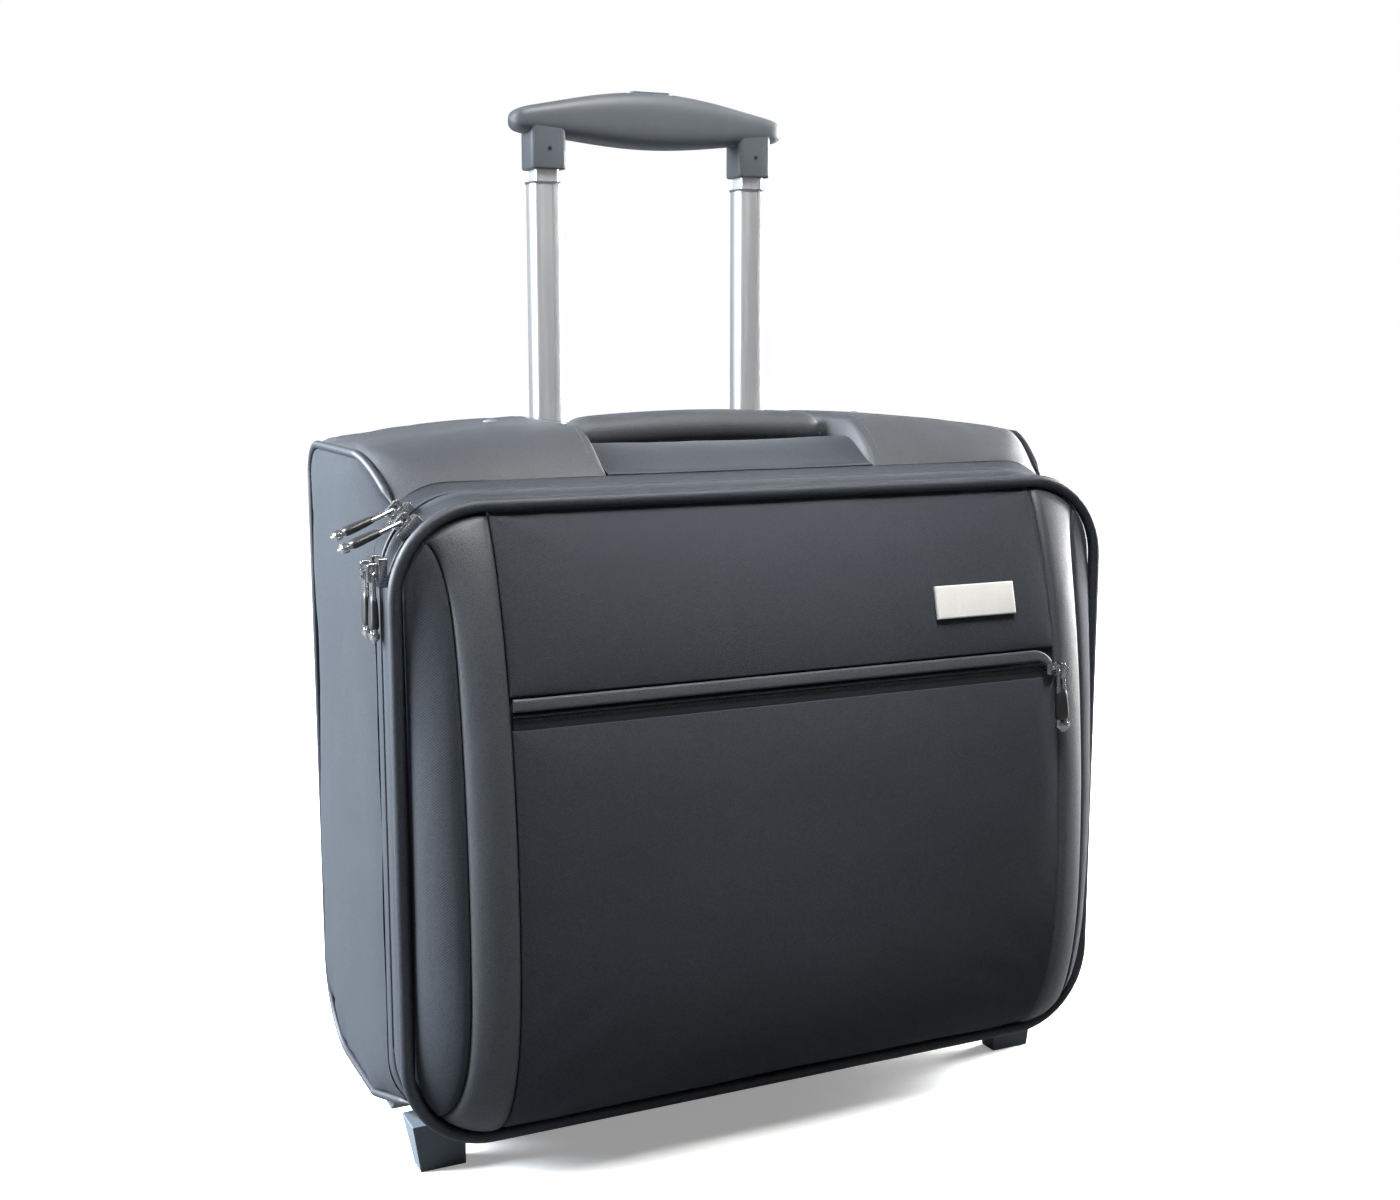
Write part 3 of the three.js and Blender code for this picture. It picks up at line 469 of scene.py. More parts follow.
def swept(name, path, profile, up, body, finish, replaces=(), closed=False, scale=None):
    """A closed profile of (side, lift) points swept along a path."""
    points, _, side, lift = frames_along(path, up, closed)
    profile = np.array(profile, float)
    size = np.ones(len(points)) if scale is None else np.array(scale)
    rings = (
        points[:, None]
        + side[:, None] * profile[None, :, :1] * size[:, None, None]
        + lift[:, None] * profile[None, :, 1:] * size[:, None, None]
    )
    corners, count = len(profile), len(points)
    faces = grid_faces(count, corners, closed=True)
    if closed:
        last = (count - 1) * corners
        for corner in range(corners):
            beside = (corner + 1) % corners
            faces.append((last + corner, last + beside, beside, corner))
    else:
        faces.append(tuple(range(corners))[::-1])
        faces.append(tuple(range((count - 1) * corners, count * corners)))
    return piece(name, rings.reshape(-1, 3), faces, finish, body, replaces)


def circle(radius, sides, squash=1.0):
    turns = np.arange(sides) * 2 * math.pi / sides
    return [(radius * math.cos(t), radius * squash * math.sin(t)) for t in turns]


def resampled(points, pitch, closed=False):
    """Points at an even pitch along a polyline."""
    points = np.array(points, float)
    if closed:
        points = np.concatenate([points, points[:1]])
    run = np.concatenate([[0], np.cumsum(np.linalg.norm(np.diff(points, axis=0), axis=1))])
    count = max(2, round(run[-1] / pitch))
    at = np.linspace(0, run[-1], count + 1)
    at = at[:-1] if closed else at
    return np.stack([np.interp(at, run, points[:, axis]) for axis in range(3)], axis=1)


def scattered(name, path, up, template, body, finish, closed=False):
    """Copies of a small template of (points, faces) at each point of a path, as one piece.

    A template point is (along, side, lift).
    """
    shape, sides = np.array(template[0], float), template[1]
    points, tangent, side, lift = frames_along(path, up, closed)
    placed = (
        points[:, None]
        + tangent[:, None] * shape[None, :, :1]
        + side[:, None] * shape[None, :, 1:2]
        + lift[:, None] * shape[None, :, 2:]
    )
    faces = [tuple(i + k * len(shape) for i in f) for k in range(len(points)) for f in sides]
    return piece(name, placed.reshape(-1, 3), faces, finish, body)


def bead(length, width, height, sides=6, rings=3):
    """A small rounded stitch or tooth lying along its first axis."""
    points, faces = [(-length / 2, 0, 0)], []
    for ring in range(1, rings + 1):
        turn = math.pi * ring / (rings + 1)
        reach = math.sin(turn)
        for k in range(sides):
            spin = 2 * math.pi * k / sides
            points.append((-length / 2 * math.cos(turn), width / 2 * reach * math.cos(spin), height / 2 * reach * math.sin(spin)))
    points.append((length / 2, 0, 0))
    faces += [(0, 1 + (k + 1) % sides, 1 + k) for k in range(sides)]
    for ring in range(rings - 1):
        start = 1 + ring * sides
        faces += [(start + k, start + (k + 1) % sides, start + sides + (k + 1) % sides, start + sides + k) for k in range(sides)]
    last, start = len(points) - 1, 1 + (rings - 1) * sides
    faces += [(last, start + k, start + (k + 1) % sides) for k in range(sides)]
    return points, faces


STITCH = bead(2.3 * MM, 0.5 * MM, 0.4 * MM)


def stitches(name, path, up, body, closed=False, finish="thread"):
    """A row of stitches along a path; up is the way the cloth faces."""
    return scattered(name, resampled(path, 3.1 * MM, closed), up, STITCH, body, finish, closed)


# ---- Outlines of the bag ----


def outline(y, inset=0.0, step=3 * MM):
    """The bag's outline at y as a closed loop, anticlockwise seen from the front, from mid-bottom."""
    half, low, high, r = HALF - inset, BOTTOM + inset, bag_top(y) - inset, section_r(y) - inset
    points = []

    def run(ax, az, bx, bz):
        across = ax != bx
        length = (HALF - CORNER) * (2 if ax * bx < 0 else 1) if across else LID_TOP - BOTTOM - 2 * CORNER
        count = round(length / step)
        points.extend((mix(ax, bx, k / count), y, mix(az, bz, k / count)) for k in range(count))

    def turn(cx, cz, start):
        count = round(CORNER * math.pi / 2 / step)
        for k in range(count):
            at = start + k / count * math.pi / 2
            points.append((cx + r * math.cos(at), y, cz + r * math.sin(at)))

    run(0, low, half - r, low)
    turn(half - r, low + r, -math.pi / 2)
    run(half, low + r, half, high - r)
    turn(half - r, high - r, 0)
    run(half - r, high, r - half, high)
    turn(r - half, high - r, math.pi / 2)
    run(-half, high - r, -half, low + r)
    turn(r - half, low + r, math.pi)
    run(r - half, low, 0, low)
    return points


OUTLINE_UP = (0, 1, 0)


def zip_run(y, inset):
    """The part of the outline that a zip follows: up one side, over the top and down the other."""
    low = BOTTOM + CORNER
    loop = outline(y, inset)
    start = next(i for i, p in enumerate(loop) if p[2] >= low)
    return [p for p in loop[start:] if p[2] >= low]


def band(name, y0, y1, body, replaces, rolled_rear=True):
    """A band of cloth round the bag, with its edges rolled over."""
    rows = np.array([0, 0.4, 1.1, 2.2]) * MM
    depth = np.array([0.55, 0.25, 0.07, 0]) * CLOTH
    ys = [*(y0 + rows), (y0 + y1) / 2, *(y1 - rows[::-1])]
    insets = [*depth, -0.2 * MM, *(depth[::-1] if rolled_rear else 0 * depth)]
    ys += [y1, y0]
    insets += [CLOTH, CLOTH]
    loops = [outline(y, inset) for y, inset in zip(ys, insets)]
    count = len(loops[0])
    faces = grid_faces(len(loops), count, closed=True)
    last = (len(loops) - 1) * count
    faces += [(last + k, last + (k + 1) % count, (k + 1) % count, k) for k in range(count)]
    insides = range(len(ys[:-2]) * count, (len(ys) - 1) * count)
    return piece(name, [p for loop in loops for p in loop], faces, "fabric", body, replaces, insides=insides)


# ---- Shell of the case ----

side_low, side_high = box("side_panel_right")


def seam_depth(y, z):
    """How far a point of the side lies inside the seam round the side panel."""
    inset = seam_inset(y)
    top_r, bottom_r = REAR_TOP_R, REAR_BOTTOM_R
    if y > BACK - top_r and z > SIDE_TOP - top_r:
        return top_r - inset - math.hypot(y - (BACK - top_r), z - (SIDE_TOP - top_r))
    if y > BACK - bottom_r and z < BOTTOM + bottom_r:
        return bottom_r - inset - math.hypot(y - (BACK - bottom_r), z - (BOTTOM + bottom_r))
    return min(z - BOTTOM - inset, bag_top(y) - inset - z, BACK - inset - y)


def seam_heights(y):
    """Heights of the seam below and above a point of the side."""
    inset = seam_inset(y)
    past_low = max(0.0, y - (BACK - REAR_BOTTOM_R))
    past_high = max(0.0, y - (BACK - REAR_TOP_R))
    low_r, high_r = REAR_BOTTOM_R - inset, REAR_TOP_R - inset
    low = BOTTOM + REAR_BOTTOM_R - math.sqrt(max(0.0, low_r**2 - past_low**2))
    level = bag_top(min(y, BACK - REAR_TOP_R)) - REAR_TOP_R
    return low, level + math.sqrt(max(0.0, high_r**2 - past_high**2))


def side_face(side):
    """The outer face of a side panel: near its seam it turns halfway round the section's corner."""
    end = BACK - seam_inset(BACK)

    def face(u, v):
        y = mix(RIM_BACK, end, math.sin(u * math.pi / 2))
        z = mix(*seam_heights(y), v)
        r = section_r(y)
        past = clamp(r * math.sqrt(0.5) - seam_depth(y, z), 0, r * math.sqrt(0.5))
        return side * (HALF - r + math.sqrt(r**2 - past**2)), y, z

    return face


def strip_y(v, level=0.75):
    return mix(RIM_BACK, BACK - REAR_TOP_R, clamp(v / level))


def slope_share(y):
    return math.sin(clamp((y - RIM_BACK) / (SLOPE_END - RIM_BACK)) * math.pi / 2)


def top_strip(x, v, sink, height, level=0.75):
    """A point of the strip over the top and down the rear corner, sink below its face."""
    y = strip_y(v, level)
    turn = clamp((v - level) / (1 - level)) * math.pi / 2
    r = REAR_TOP_R - sink
    lift = mix(bag_top(RIM_BACK), height, slope_share(y)) - SIDE_TOP
    return x, y + r * math.sin(turn), SIDE_TOP - REAR_TOP_R + (r + lift) * math.cos(turn)


def corner_point(y, share):
    """Where a strip's edge turns halfway round the section's corner, as (x, sink)."""
    r = section_r(y)
    turn = mix(math.pi / 4, math.pi / 2, share)
    slip = (1 - share) * GAP
    return HALF - r + r * math.cos(turn) - slip, r - r * math.sin(turn) - slip


FOLD = 4.5 * MM  # width of the fold where a corner panel turns down into the bay
FOLD_SHARE = 0.88


def top_corner_face(side):
    arc = 0.3

    def face(u, v):
        y = strip_y(v)
        edge_x, sink = corner_point(y, clamp(u / arc))
        x = mix(edge_x, BAY_X + FOLD, clamp((u - arc) / (FOLD_SHARE - arc)))
        hump = CROWN * math.sin(clamp((HALF - x) / (HALF - BAY_X)) * math.pi / 2)
        turn = clamp((u - FOLD_SHARE) / (1 - FOLD_SHARE)) * math.pi / 2
        px, py, pz = top_strip(x - FOLD * math.sin(turn), v, sink, SIDE_TOP + hump)
        depth = (SIDE_TOP + CROWN - BAY_FLOOR) * slope_share(y) + 1.5 * MM
        return side * px, py, pz - (1 - math.cos(turn)) * depth

    return face


FOLD_SPREAD = sorted({*spread(HALF - BAY_X, 5 * MM), *np.linspace(FOLD_SHARE, 1, 9)})


SWELL = 11 * MM
SWELL_TOP_Y = -17 * MM
SWELL_FALL = 21 * MM  # from the swell's top to the dip under the handle
REAR_OF_BAY = (bezel_low.y - GAP - RIM_BACK) / (BACK - REAR_TOP_R - RIM_BACK) * 0.75


def top_face(u, v):
    """The bay's floor swells up in front of the grab handle, and dips below it."""
    x, y, z = top_strip(mix(-BAY_X, BAY_X, u), v * REAR_OF_BAY, 0, BAY_FLOOR)
    swell = smooth((y - RIM_BACK) / (SWELL_TOP_Y - RIM_BACK)) * (1 - smooth((y - SWELL_TOP_Y) / SWELL_FALL))
    return x, y, z + SWELL * swell


def back_face(u, v):
    """The back is flat, and turns halfway round the corners of the section at its sides."""
    half = HALF - seam_inset(BACK)
    x = mix(-half, half, u)
    past = max(0.0, abs(x) - (HALF - BODY_CORNER))
    return x, BACK - BODY_CORNER + math.sqrt(BODY_CORNER**2 - past**2), mix(back_low.z, back_high.z, v)


SIDE_CORD_R = 2.3 * MM


def side_cord_path(side):
    """The middle line of the piping along the seam of a side panel, from the rim round to the rim."""
    reach = SIDE_CORD_R * 0.35
    points = []

    def slope(up, ys):
        for y in ys:
            inset = seam_inset(y) - reach
            edge = bag_top(y) if up > 0 else BOTTOM
            points.append((side * (HALF - inset), y, edge - up * inset))

    def round_corner(centre_z, radius, start):
        inset = seam_inset(BACK) - reach
        for turn in start - np.linspace(0, math.pi / 2, 18):
            points.append((side * (HALF - inset), BACK - radius + (radius - inset) * math.cos(turn),
                           centre_z + (radius - inset) * math.sin(turn)))

    front = RIM_BACK - 1 * MM
    slope(1, [*np.linspace(front, SLOPE_END, 24), *np.linspace(0, BACK - REAR_TOP_R - 4 * MM, 10)])
    round_corner(SIDE_TOP - REAR_TOP_R, REAR_TOP_R, math.pi / 2)
    round_corner(BOTTOM + REAR_BOTTOM_R, REAR_BOTTOM_R, 0)
    slope(-1, [*np.linspace(BACK - REAR_BOTTOM_R - 4 * MM, 0, 10), *np.linspace(SLOPE_END, front, 24)])
    return points


def on_face(face, places, lift=0.0):
    """Points of a face at (u, v) places, and the ways that the face looks there."""
    points, ups = [], []
    step = 1e-3
    for u, v in places:
        here = np.array(face(u, v))
        along = np.array(face(u + step, v)) - np.array(face(u - step, v))
        across = np.array(face(u, v + step)) - np.array(face(u, v - step))
        up = np.cross(along, across)
        up /= np.linalg.norm(up)
        if up @ (here - np.array([0, 0, 0.2])) < 0:
            up = -up
        points.append(here + up * lift)
        ups.append(up)
    return np.array(points), np.array(ups)


def seam(name, face, places, lift, body):
    """A row of stitches over a face, through (u, v) places."""
    points, ups = on_face(face, places, lift)
    even = resampled(points, 3.1 * MM)
    nearest = [int(np.argmin(((points - p) ** 2).sum(1))) for p in even]
    return scattered(name, even, ups[nearest], STITCH, body, "thread")


depth_of_side = side_high.y - side_low.y
height_of_side = side_high.z - side_low.z
for end, side in SIDES:
    panel(f"side_panel_{end}_cloth", spread(depth_of_side, 6 * MM), spread(height_of_side, 6 * MM),
          side_face(side), "case", "fabric", [f"side_panel_{end}"], puff=0.6 * MM, slack=0.9 * MM, flush=("u0",), cap=3 * MM)
    cord = side_cord_path(side)
    taper = np.clip(np.minimum(np.arange(len(cord)), len(cord) - 1 - np.arange(len(cord))) / 5, 0.35, 1)
    swept(f"side_piping_{end}_cord", cord, circle(SIDE_CORD_R, 12), (1, 0, 0), "case",
          "piping", [f"side_piping_{end}"], scale=taper)
    panel(f"top_corner_{end}_cloth", FOLD_SPREAD, spread(BACK - RIM_BACK, 5 * MM),
          top_corner_face(side), "case", "matte_and_top_shade", [f"top_corner_{end}"], puff=0.3 * MM, flush=("v0",), cap=1 * MM)
    places = [(FOLD_SHARE - 0.02, v) for v in np.linspace(0.03, 0.72, 80)]
    seam(f"top_corner_{end}_stitches", top_corner_face(side), places, 1.1 * MM, "case")
panel("top_panel_cloth", spread(2 * BAY_X, 6 * MM), spread(bezel_low.y - RIM_BACK, 5 * MM), top_face,
      "case", "fabric", ["top_panel"], slack=0.5 * MM, flush=("u0", "u1", "v0"), cap=1 * MM)
panel("back_panel_cloth", spread(back_high.x * 2, 8 * MM), spread(back_high.z - back_low.z, 8 * MM),
      back_face, "case", "fabric", ["back_panel"], puff=0.6 * MM, slack=1.0 * MM, cap=3 * MM)
band("case_rim_cloth", rim_low.y, RIM_BACK, "case", ["case_rim"], rolled_rear=False)


# ---- Base, with openings for the wheels ----

housing_low, housing_high = box("wheel_housing_right")
tyre_low, tyre_high = box("tyre_right")
AXLE_Y = (tyre_low.y + tyre_high.y) / 2
AXLE_Z = (tyre_low.z + tyre_high.z) / 2
ARCH_R = 32.8 * MM  # the opening that a wheel housing fills
ARCH_IN = (tyre_low.x + tyre_high.x) / 2 - 15.3 * MM
ARCH_OUT = ARCH_IN + 30.6 * MM


def base_face(x, run):
    """A point of the base at x, run along it from the rear corner's top towards the front."""
    bend = REAR_BOTTOM_R * math.pi / 2
    turn = clamp((bend - run) / bend) * math.pi / 2
    y = BACK - REAR_BOTTOM_R - max(0.0, run - bend)
    edge = HALF - seam_inset(y)
    outer = clamp((abs(x) - ARCH_OUT) / (HALF - ARCH_OUT))
    across = mix(min(abs(x), ARCH_OUT), edge, outer)
    r = section_r(y)
    past = max(0.0, across - (HALF - r))
    reach = REAR_BOTTOM_R - r + math.sqrt(r**2 - past**2)
    return math.copysign(across, x), y + reach * math.sin(turn), BOTTOM + REAR_BOTTOM_R - reach * math.cos(turn)


def base():
    """The base is a grid of points with the faces over the wheels left out, then given thickness."""
    bend = REAR_BOTTOM_R * math.pi / 2
    length = bend + BACK - REAR_BOTTOM_R - RIM_BACK
    xs = sorted({*np.linspace(-ARCH_IN, ARCH_IN, 50), *np.linspace(ARCH_OUT, HALF, 7),
                 *np.linspace(-HALF, -ARCH_OUT, 7)})
    runs = list(np.linspace(0, length, 45))

    def distance(run):
        _, y, z = base_face(0.17, run)
        return math.hypot(y - AXLE_Y, z - AXLE_Z) - ARCH_R

    fine = np.linspace(0, length, 2000)
    crossings = [b for a, b in zip(fine, fine[1:]) if (distance(a) > 0) != (distance(b) > 0)]
    runs = sorted([r for r in runs if all(abs(r - c) > 1 * MM for c in crossings)] + crossings)
    points = [base_face(x, run) for run in runs for x in xs]
    columns = len(xs)
    faces = []
    for face in grid_faces(len(runs), columns):
        x = sum(xs[i % columns] for i in face) / 4
        run = sum(runs[i // columns] for i in face) / 4
        if not (ARCH_IN < abs(x) < ARCH_OUT and distance(run) < 0):
            faces.append(face)
    made = piece("base_panel_cloth", points, faces, "fabric", "case", ["base_panel"])
    thicken(made, CLOTH)


def thicken(made, thickness):
    solid = made.modifiers.new("thickness", "SOLIDIFY")
    solid.thickness = thickness
    solid.offset = -1
    bevel = made.modifiers.new("edges", "BEVEL")
    bevel.width = 0.8 * MM
    bevel.segments = 2
    bevel.limit_method = "ANGLE"


base()


# ---- Zips ----

TOOTH = bead(0.95 * MM, 1.7 * MM, 1.3 * MM, sides=6, rings=2)
PITCH = 1.5 * MM


def zip_half(name, y, towards, body):
    """One half of a zip: its tape and its row of teeth, on the side of y that `towards` gives."""
    tape = zip_run(y + towards * 0.65 * MM, 2.0 * MM)
    strip = [(-0.25 * MM, -0.5 * MM), (0.25 * MM, -0.5 * MM), (0.25 * MM, 0.5 * MM), (-0.25 * MM, 0.5 * MM)]
    swept(f"{name}_tape", resampled(tape, 4 * MM), strip, OUTLINE_UP, body, "zip")
    row = resampled(zip_run(y + towards * 0.45 * MM, 1.2 * MM), PITCH / 2)
    row = row[0 if towards > 0 else 1::2]
    tooth = ([(a, up, across) for a, across, up in TOOTH[0]], TOOTH[1])
    scattered(f"{name}_teeth", row, OUTLINE_UP, tooth, body, "teeth")


def welt(name, y, body):
    """A thin cord sewn along the edge of a band."""
    path = resampled(zip_run(y, 0.95 * MM), 5 * MM)
    swept(name, path, circle(1.1 * MM, 8), OUTLINE_UP, body, "piping")


for zip_name, at, front_body, rear_body in (
    ("front_zip", FRONT_ZIP, "front_lid", "middle_section"),
    ("main_zip", MAIN_ZIP, "middle_section", "case"),
):
    welt(f"{zip_name}_front_welt", at - 2.5 * MM, front_body)
    welt(f"{zip_name}_rear_welt", at + 2.5 * MM, rear_body)
zip_half("front_zip_front", FRONT_ZIP, -1, "front_lid")
zip_half("front_zip_rear", FRONT_ZIP, 1, "middle_section")
zip_half("main_zip_front", MAIN_ZIP, -1, "middle_section")
zip_half("main_zip_rear", MAIN_ZIP, 1, "case")
band("middle_band_cloth", band_low.y, band_high.y, "middle_section", ["middle_band"])
band("lid_gusset_cloth", gusset_low.y, gusset_high.y, "front_lid", ["lid_gusset"])


def hinge_strip(name, y, front_body, rear_body):
    """The cloth strip along the bottom that two sections fold about."""
    half = HALF - CORNER
    xs = np.linspace(-half, half, 40)
    reach = 4 * MM
    ys = np.linspace(y - reach, y + reach, 9)
    z = BOTTOM + CLOTH + 0.6 * MM
    rows = [(x, at, z - 2.6 * MM * math.cos((at - y) / reach * math.pi / 2) ** 2) for at in ys for x in xs]
    made = piece(name, rows, grid_faces(len(ys), len(xs)), "zip", None)
    thicken(made, 0.5 * MM)
    bend(made, rear_body, front_body, (0, y + 1.2 * MM, BOTTOM), (0, y - 1.2 * MM, BOTTOM))


hinge_strip("front_lid_fold", FRONT_ZIP, "front_lid", "middle_section")
hinge_strip("middle_section_fold", MAIN_ZIP, "middle_section", "case")


# ---- Front lid ----

LID_EDGE = PIPING_R + 2 * GAP
LID_HALF = HALF + 1 * MM - LID_EDGE
LID_CORNER = CORNER - LID_EDGE
LID_LOW = BOTTOM + 2.5 * MM + LID_EDGE
LID_HIGH = LID_TOP - LID_EDGE


def lid_span(x):
    past = clamp(abs(x) - (LID_HALF - LID_CORNER), 0, LID_CORNER)
    drop = LID_CORNER - math.sqrt(LID_CORNER**2 - past**2)
    return LID_LOW + drop, LID_HIGH - drop


def pillow(x, z):
    """Height of the lid's face above the piping."""
    low, high = lid_span(x)
    if z > BULGE_Z:
        rise = (1 - clamp((z - BULGE_Z) / (high - BULGE_Z)) ** 2) ** 0.75
    else:
        rise = (1 - clamp((BULGE_Z - z) / (BULGE_Z - low)) ** 2.5) ** 0.6
    edge = clamp((abs(x) - 150 * MM) / (LID_HALF - 150 * MM))
    return BULGE * rise * (1 - edge**2.5) ** 0.75


def lid_point(x, z):
    return x, PIPING_Y - pillow(x, z), z


def centre_face(low, high):
    return lambda u, v: lid_point(mix(-SEAM_X, SEAM_X, u), mix(low, high, v))


def trim_edge(v):
    """The outer seam of a trim swings out to meet the piping at both ends."""
    return TRIM_X + 9 * MM * abs(2 * v - 1) ** 8


def trim_face(side):
    def face(u, v):
        x = mix(SEAM_X + GAP, trim_edge(v) - GAP, u)
        low, high = lid_span(x)
        return lid_point(side * x, mix(low, high, v))

    return face


def gore_face(side):
    def face(u, v):
        inner = trim_edge(v)
        low, high = lid_span(inner)
        z = mix(low, high, v)
        past = max(0.0, z - (LID_HIGH - LID_CORNER), LID_LOW + LID_CORNER - z)
        outer = LID_HALF - LID_CORNER + math.sqrt(max(0.0, LID_CORNER**2 - past**2))
        return lid_point(side * mix(inner, max(outer, inner + 0.8 * MM), u), z)

    return face


lid_height = LID_HIGH - LID_LOW
panel("front_panel_lower_cloth", spread(2 * SEAM_X, 6 * MM), spread(lower_high.z - lower_low.z, 5 * MM),
      centre_face(lower_low.z, lower_high.z), "front_lid", "fabric", ["front_panel_lower"], puff=0.6 * MM, slack=0.6 * MM, cap=1.6 * MM)
FLAP = 6.6 * MM  # height of the bound edge along the foot of the upper panel
panel("front_panel_upper_cloth", spread(2 * SEAM_X, 6 * MM), spread(upper_high.z - upper_low.z, 5 * MM),
      centre_face(upper_low.z + FLAP, upper_high.z), "front_lid", "fabric", ["front_panel_upper"], puff=0.6 * MM, slack=0.6 * MM, cap=3 * MM)
for end, side in SIDES:
    panel(f"front_trim_{end}_cloth", spread(TRIM_X - SEAM_X, 3 * MM), spread(lid_height * 1.1, 4 * MM),
          trim_face(side), "front_lid", "leather", [f"front_trim_{end}"], puff=1.0 * MM, roll=5 * MM, drop=0.8, slack=0.3 * MM, cap=1.5 * MM)
    panel(f"front_gore_{end}_cloth", spread(LID_HALF - TRIM_X, 3 * MM), spread(lid_height * 1.1, 4 * MM),
          gore_face(side), "front_lid", "fabric", [f"front_gore_{end}"], puff=0.6 * MM, drop=0.8, cap=2.5 * MM)


def lid_cord_path():
    half, low, r = HALF + 1 * MM, BOTTOM + 2.5 * MM, CORNER
    points = [(0, PIPING_Y, low)]
    for cx, cz, start in ((half - r, low + r, -1), (half - r, LID_TOP - r, 0), (r - half, LID_TOP - r, 1), (r - half, low + r, 2)):
        for turn in (start + np.linspace(0, 1, 20)) * math.pi / 2:
            points.append((cx + r * math.cos(turn), PIPING_Y, cz + r * math.sin(turn)))
    return points


swept("lid_piping_cord", resampled(lid_cord_path(), 5 * MM, True), circle(PIPING_R, 16), (0, 1, 0), "front_lid",
      "piping", ["lid_piping"], closed=True)


def seam_shade_point(u, v):
    """A dark sheet just behind the lid's panels closes the seams between them: painted shade, so the gaps read as
    shadow.
    """
    x = mix(-LID_HALF + 1 * MM, LID_HALF - 1 * MM, u)
    low, high = lid_span(x)
    z = mix(low + 1 * MM, high - 1 * MM, v)
    return x, PIPING_Y - pillow(x, z) + CLOTH + 0.4 * MM, z


# painted shade: this near-black sheet behind the lid's panels stands in for the shadow in the seams between them
panel("lid_seam_shade_sheet", np.linspace(0, 1, 60), np.linspace(0, 1, 60),
      lambda u, v: seam_shade_point(u, v), "front_lid", "zip", thick=1 * MM, puff=0, slack=0, drop=0)


# ---- Front pocket ----

ZIP_LOW = lower_high.z
ZIP_HIGH = upper_low.z
POCKET_Z = (ZIP_LOW + ZIP_HIGH) / 2


def rounded_bar(width, thickness, steps=4):
    """The section of a flat bar with round ends."""
    points = []
    r = thickness / 2
    for sign in (1, -1):
        for turn in np.linspace(-math.pi / 2, math.pi / 2, 2 * steps + 1):
            points.append((sign * (width / 2 - r + r * math.cos(turn)), sign * r * math.sin(turn)))
    return points


def on_lid(x, z, lift=0.0):
    """A point of the lid's face and the way that the face looks there."""
    step = 0.5 * MM
    along = np.array(lid_point(x + step, z)) - np.array(lid_point(x - step, z))
    across = np.array(lid_point(x, z + step)) - np.array(lid_point(x, z - step))
    up = np.cross(along, across)
    up /= np.linalg.norm(up)
    return np.array(lid_point(x, z)) + up * lift, up


def lid_strip(name, places, section, lift, finish, scale=None):
    placed = [on_lid(x, z, lift) for x, z in places]
    swept(name, [p for p, _ in placed], section, [up for _, up in placed], "front_lid", finish, scale=scale)


def pocket():
    end = SEAM_X - 3 * MM
    bend = 13 * MM
    flap_z = ZIP_HIGH + FLAP / 2 - 0.5 * MM
    places = [(x, flap_z) for x in np.linspace(-SEAM_X + 1 * MM, end - bend, 60)]
    places += [(end - bend + bend * math.sin(t), flap_z - bend + bend * math.cos(t))
               for t in np.linspace(0.1, 1.35, 12)]
    taper = [1.0] * 60 + list(np.linspace(0.97, 0.45, 12))
    lid_strip("pocket_flap", places, rounded_bar(FLAP, 2.6 * MM), 1.4 * MM, "leather", taper)
    lip = [(x, POCKET_Z + 2.2 * MM) for x in np.linspace(-SEAM_X + 1 * MM, end - 5 * MM, 60)]
    lid_strip("pocket_lip", lip, rounded_bar(1.6 * MM, 1.2 * MM), -0.4 * MM, "piping")
    run = np.linspace(-SEAM_X + 1 * MM, end, 70)
    tape = [(x, POCKET_Z) for x in run]
    lid_strip("pocket_zip_tape", tape, rounded_bar(ZIP_HIGH - ZIP_LOW + 3 * MM, 0.8 * MM, 1), -1.6 * MM, "zip")
    for half, side in (("upper", 1), ("lower", -1)):
        row = [on_lid(x, POCKET_Z + side * 0.45 * MM, -0.7 * MM) for x in np.arange(-SEAM_X + 2 * MM, end, PITCH)]
        shift = np.array([PITCH / 4 * side, 0, 0])
        scattered(f"pocket_teeth_{half}", [p + shift for p, _ in row], np.array([up for _, up in row]),
                  TOOTH, "front_lid", "teeth")
    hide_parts("pocket_zip")


pocket()


def badge():
    """A plain plate with softened edges, lying on the upper panel."""
    low, high = box("badge_plate")

    def face(u, v):
        return on_lid(mix(low.x, high.x, u), mix(low.z, high.z, v), 4.9 * MM)[0]

    near = np.array([0, 0.25, 0.6, 1.1]) * MM
    us, vs = [np.array([*near, length / 2, *(length - near[::-1])]) / length
              for length in (high.x - low.x, high.z - low.z)]
    panel("badge_face", us, vs, face, "front_lid", "badge", ["badge_plate"], thick=2 * MM, roll=1.1 * MM,
          drop=0.35, puff=0, slack=0)


badge()


# ---- Boards inside ----


def board_face(y, inset):
    half, low, high, r = HALF - inset, BOTTOM + inset, LID_TOP - inset, CORNER - inset

    def face(u, v):
        z = mix(low, high, v)
        past = max(0.0, low + r - z, z - high + r)
        reach = half - r + math.sqrt(max(0.0, r**2 - past**2))
        return mix(-reach, reach, u), y, z

    return face


def board(name, node, looks, body, rise):
    """A lined board; its padded side looks along looks."""
    low, high = box(node)
    y = high.y if looks > 0 else low.y
    panel(name, spread(2 * HALF, 9 * MM), spread(high.z - low.z, 9 * MM), board_face(y, HALF - high.x), body,
          "lining", [node], thick=high.y - low.y, puff=rise, slack=0.3 * MM, looks=(0, looks, 0))
    edge = board_face(y + looks * rise, HALF - high.x + 5 * MM)
    rows = [edge(u, v) for u, v in border_places(60)]
    stitches(f"{name}_stitches", rows, (0, looks, 0), body, closed=True)


def border_places(count):
    run = np.linspace(0, 1, count, endpoint=False)
    return [*((u, 0) for u in run), *((1, v) for v in run), *((1 - u, 1) for u in run), *((0, 1 - v) for v in run)]


board("lid_lining_cloth", "lid_lining", 1, "front_lid", 0.5 * MM)
board("divider_cloth", "divider_panel", -1, "middle_section", 0.5 * MM)


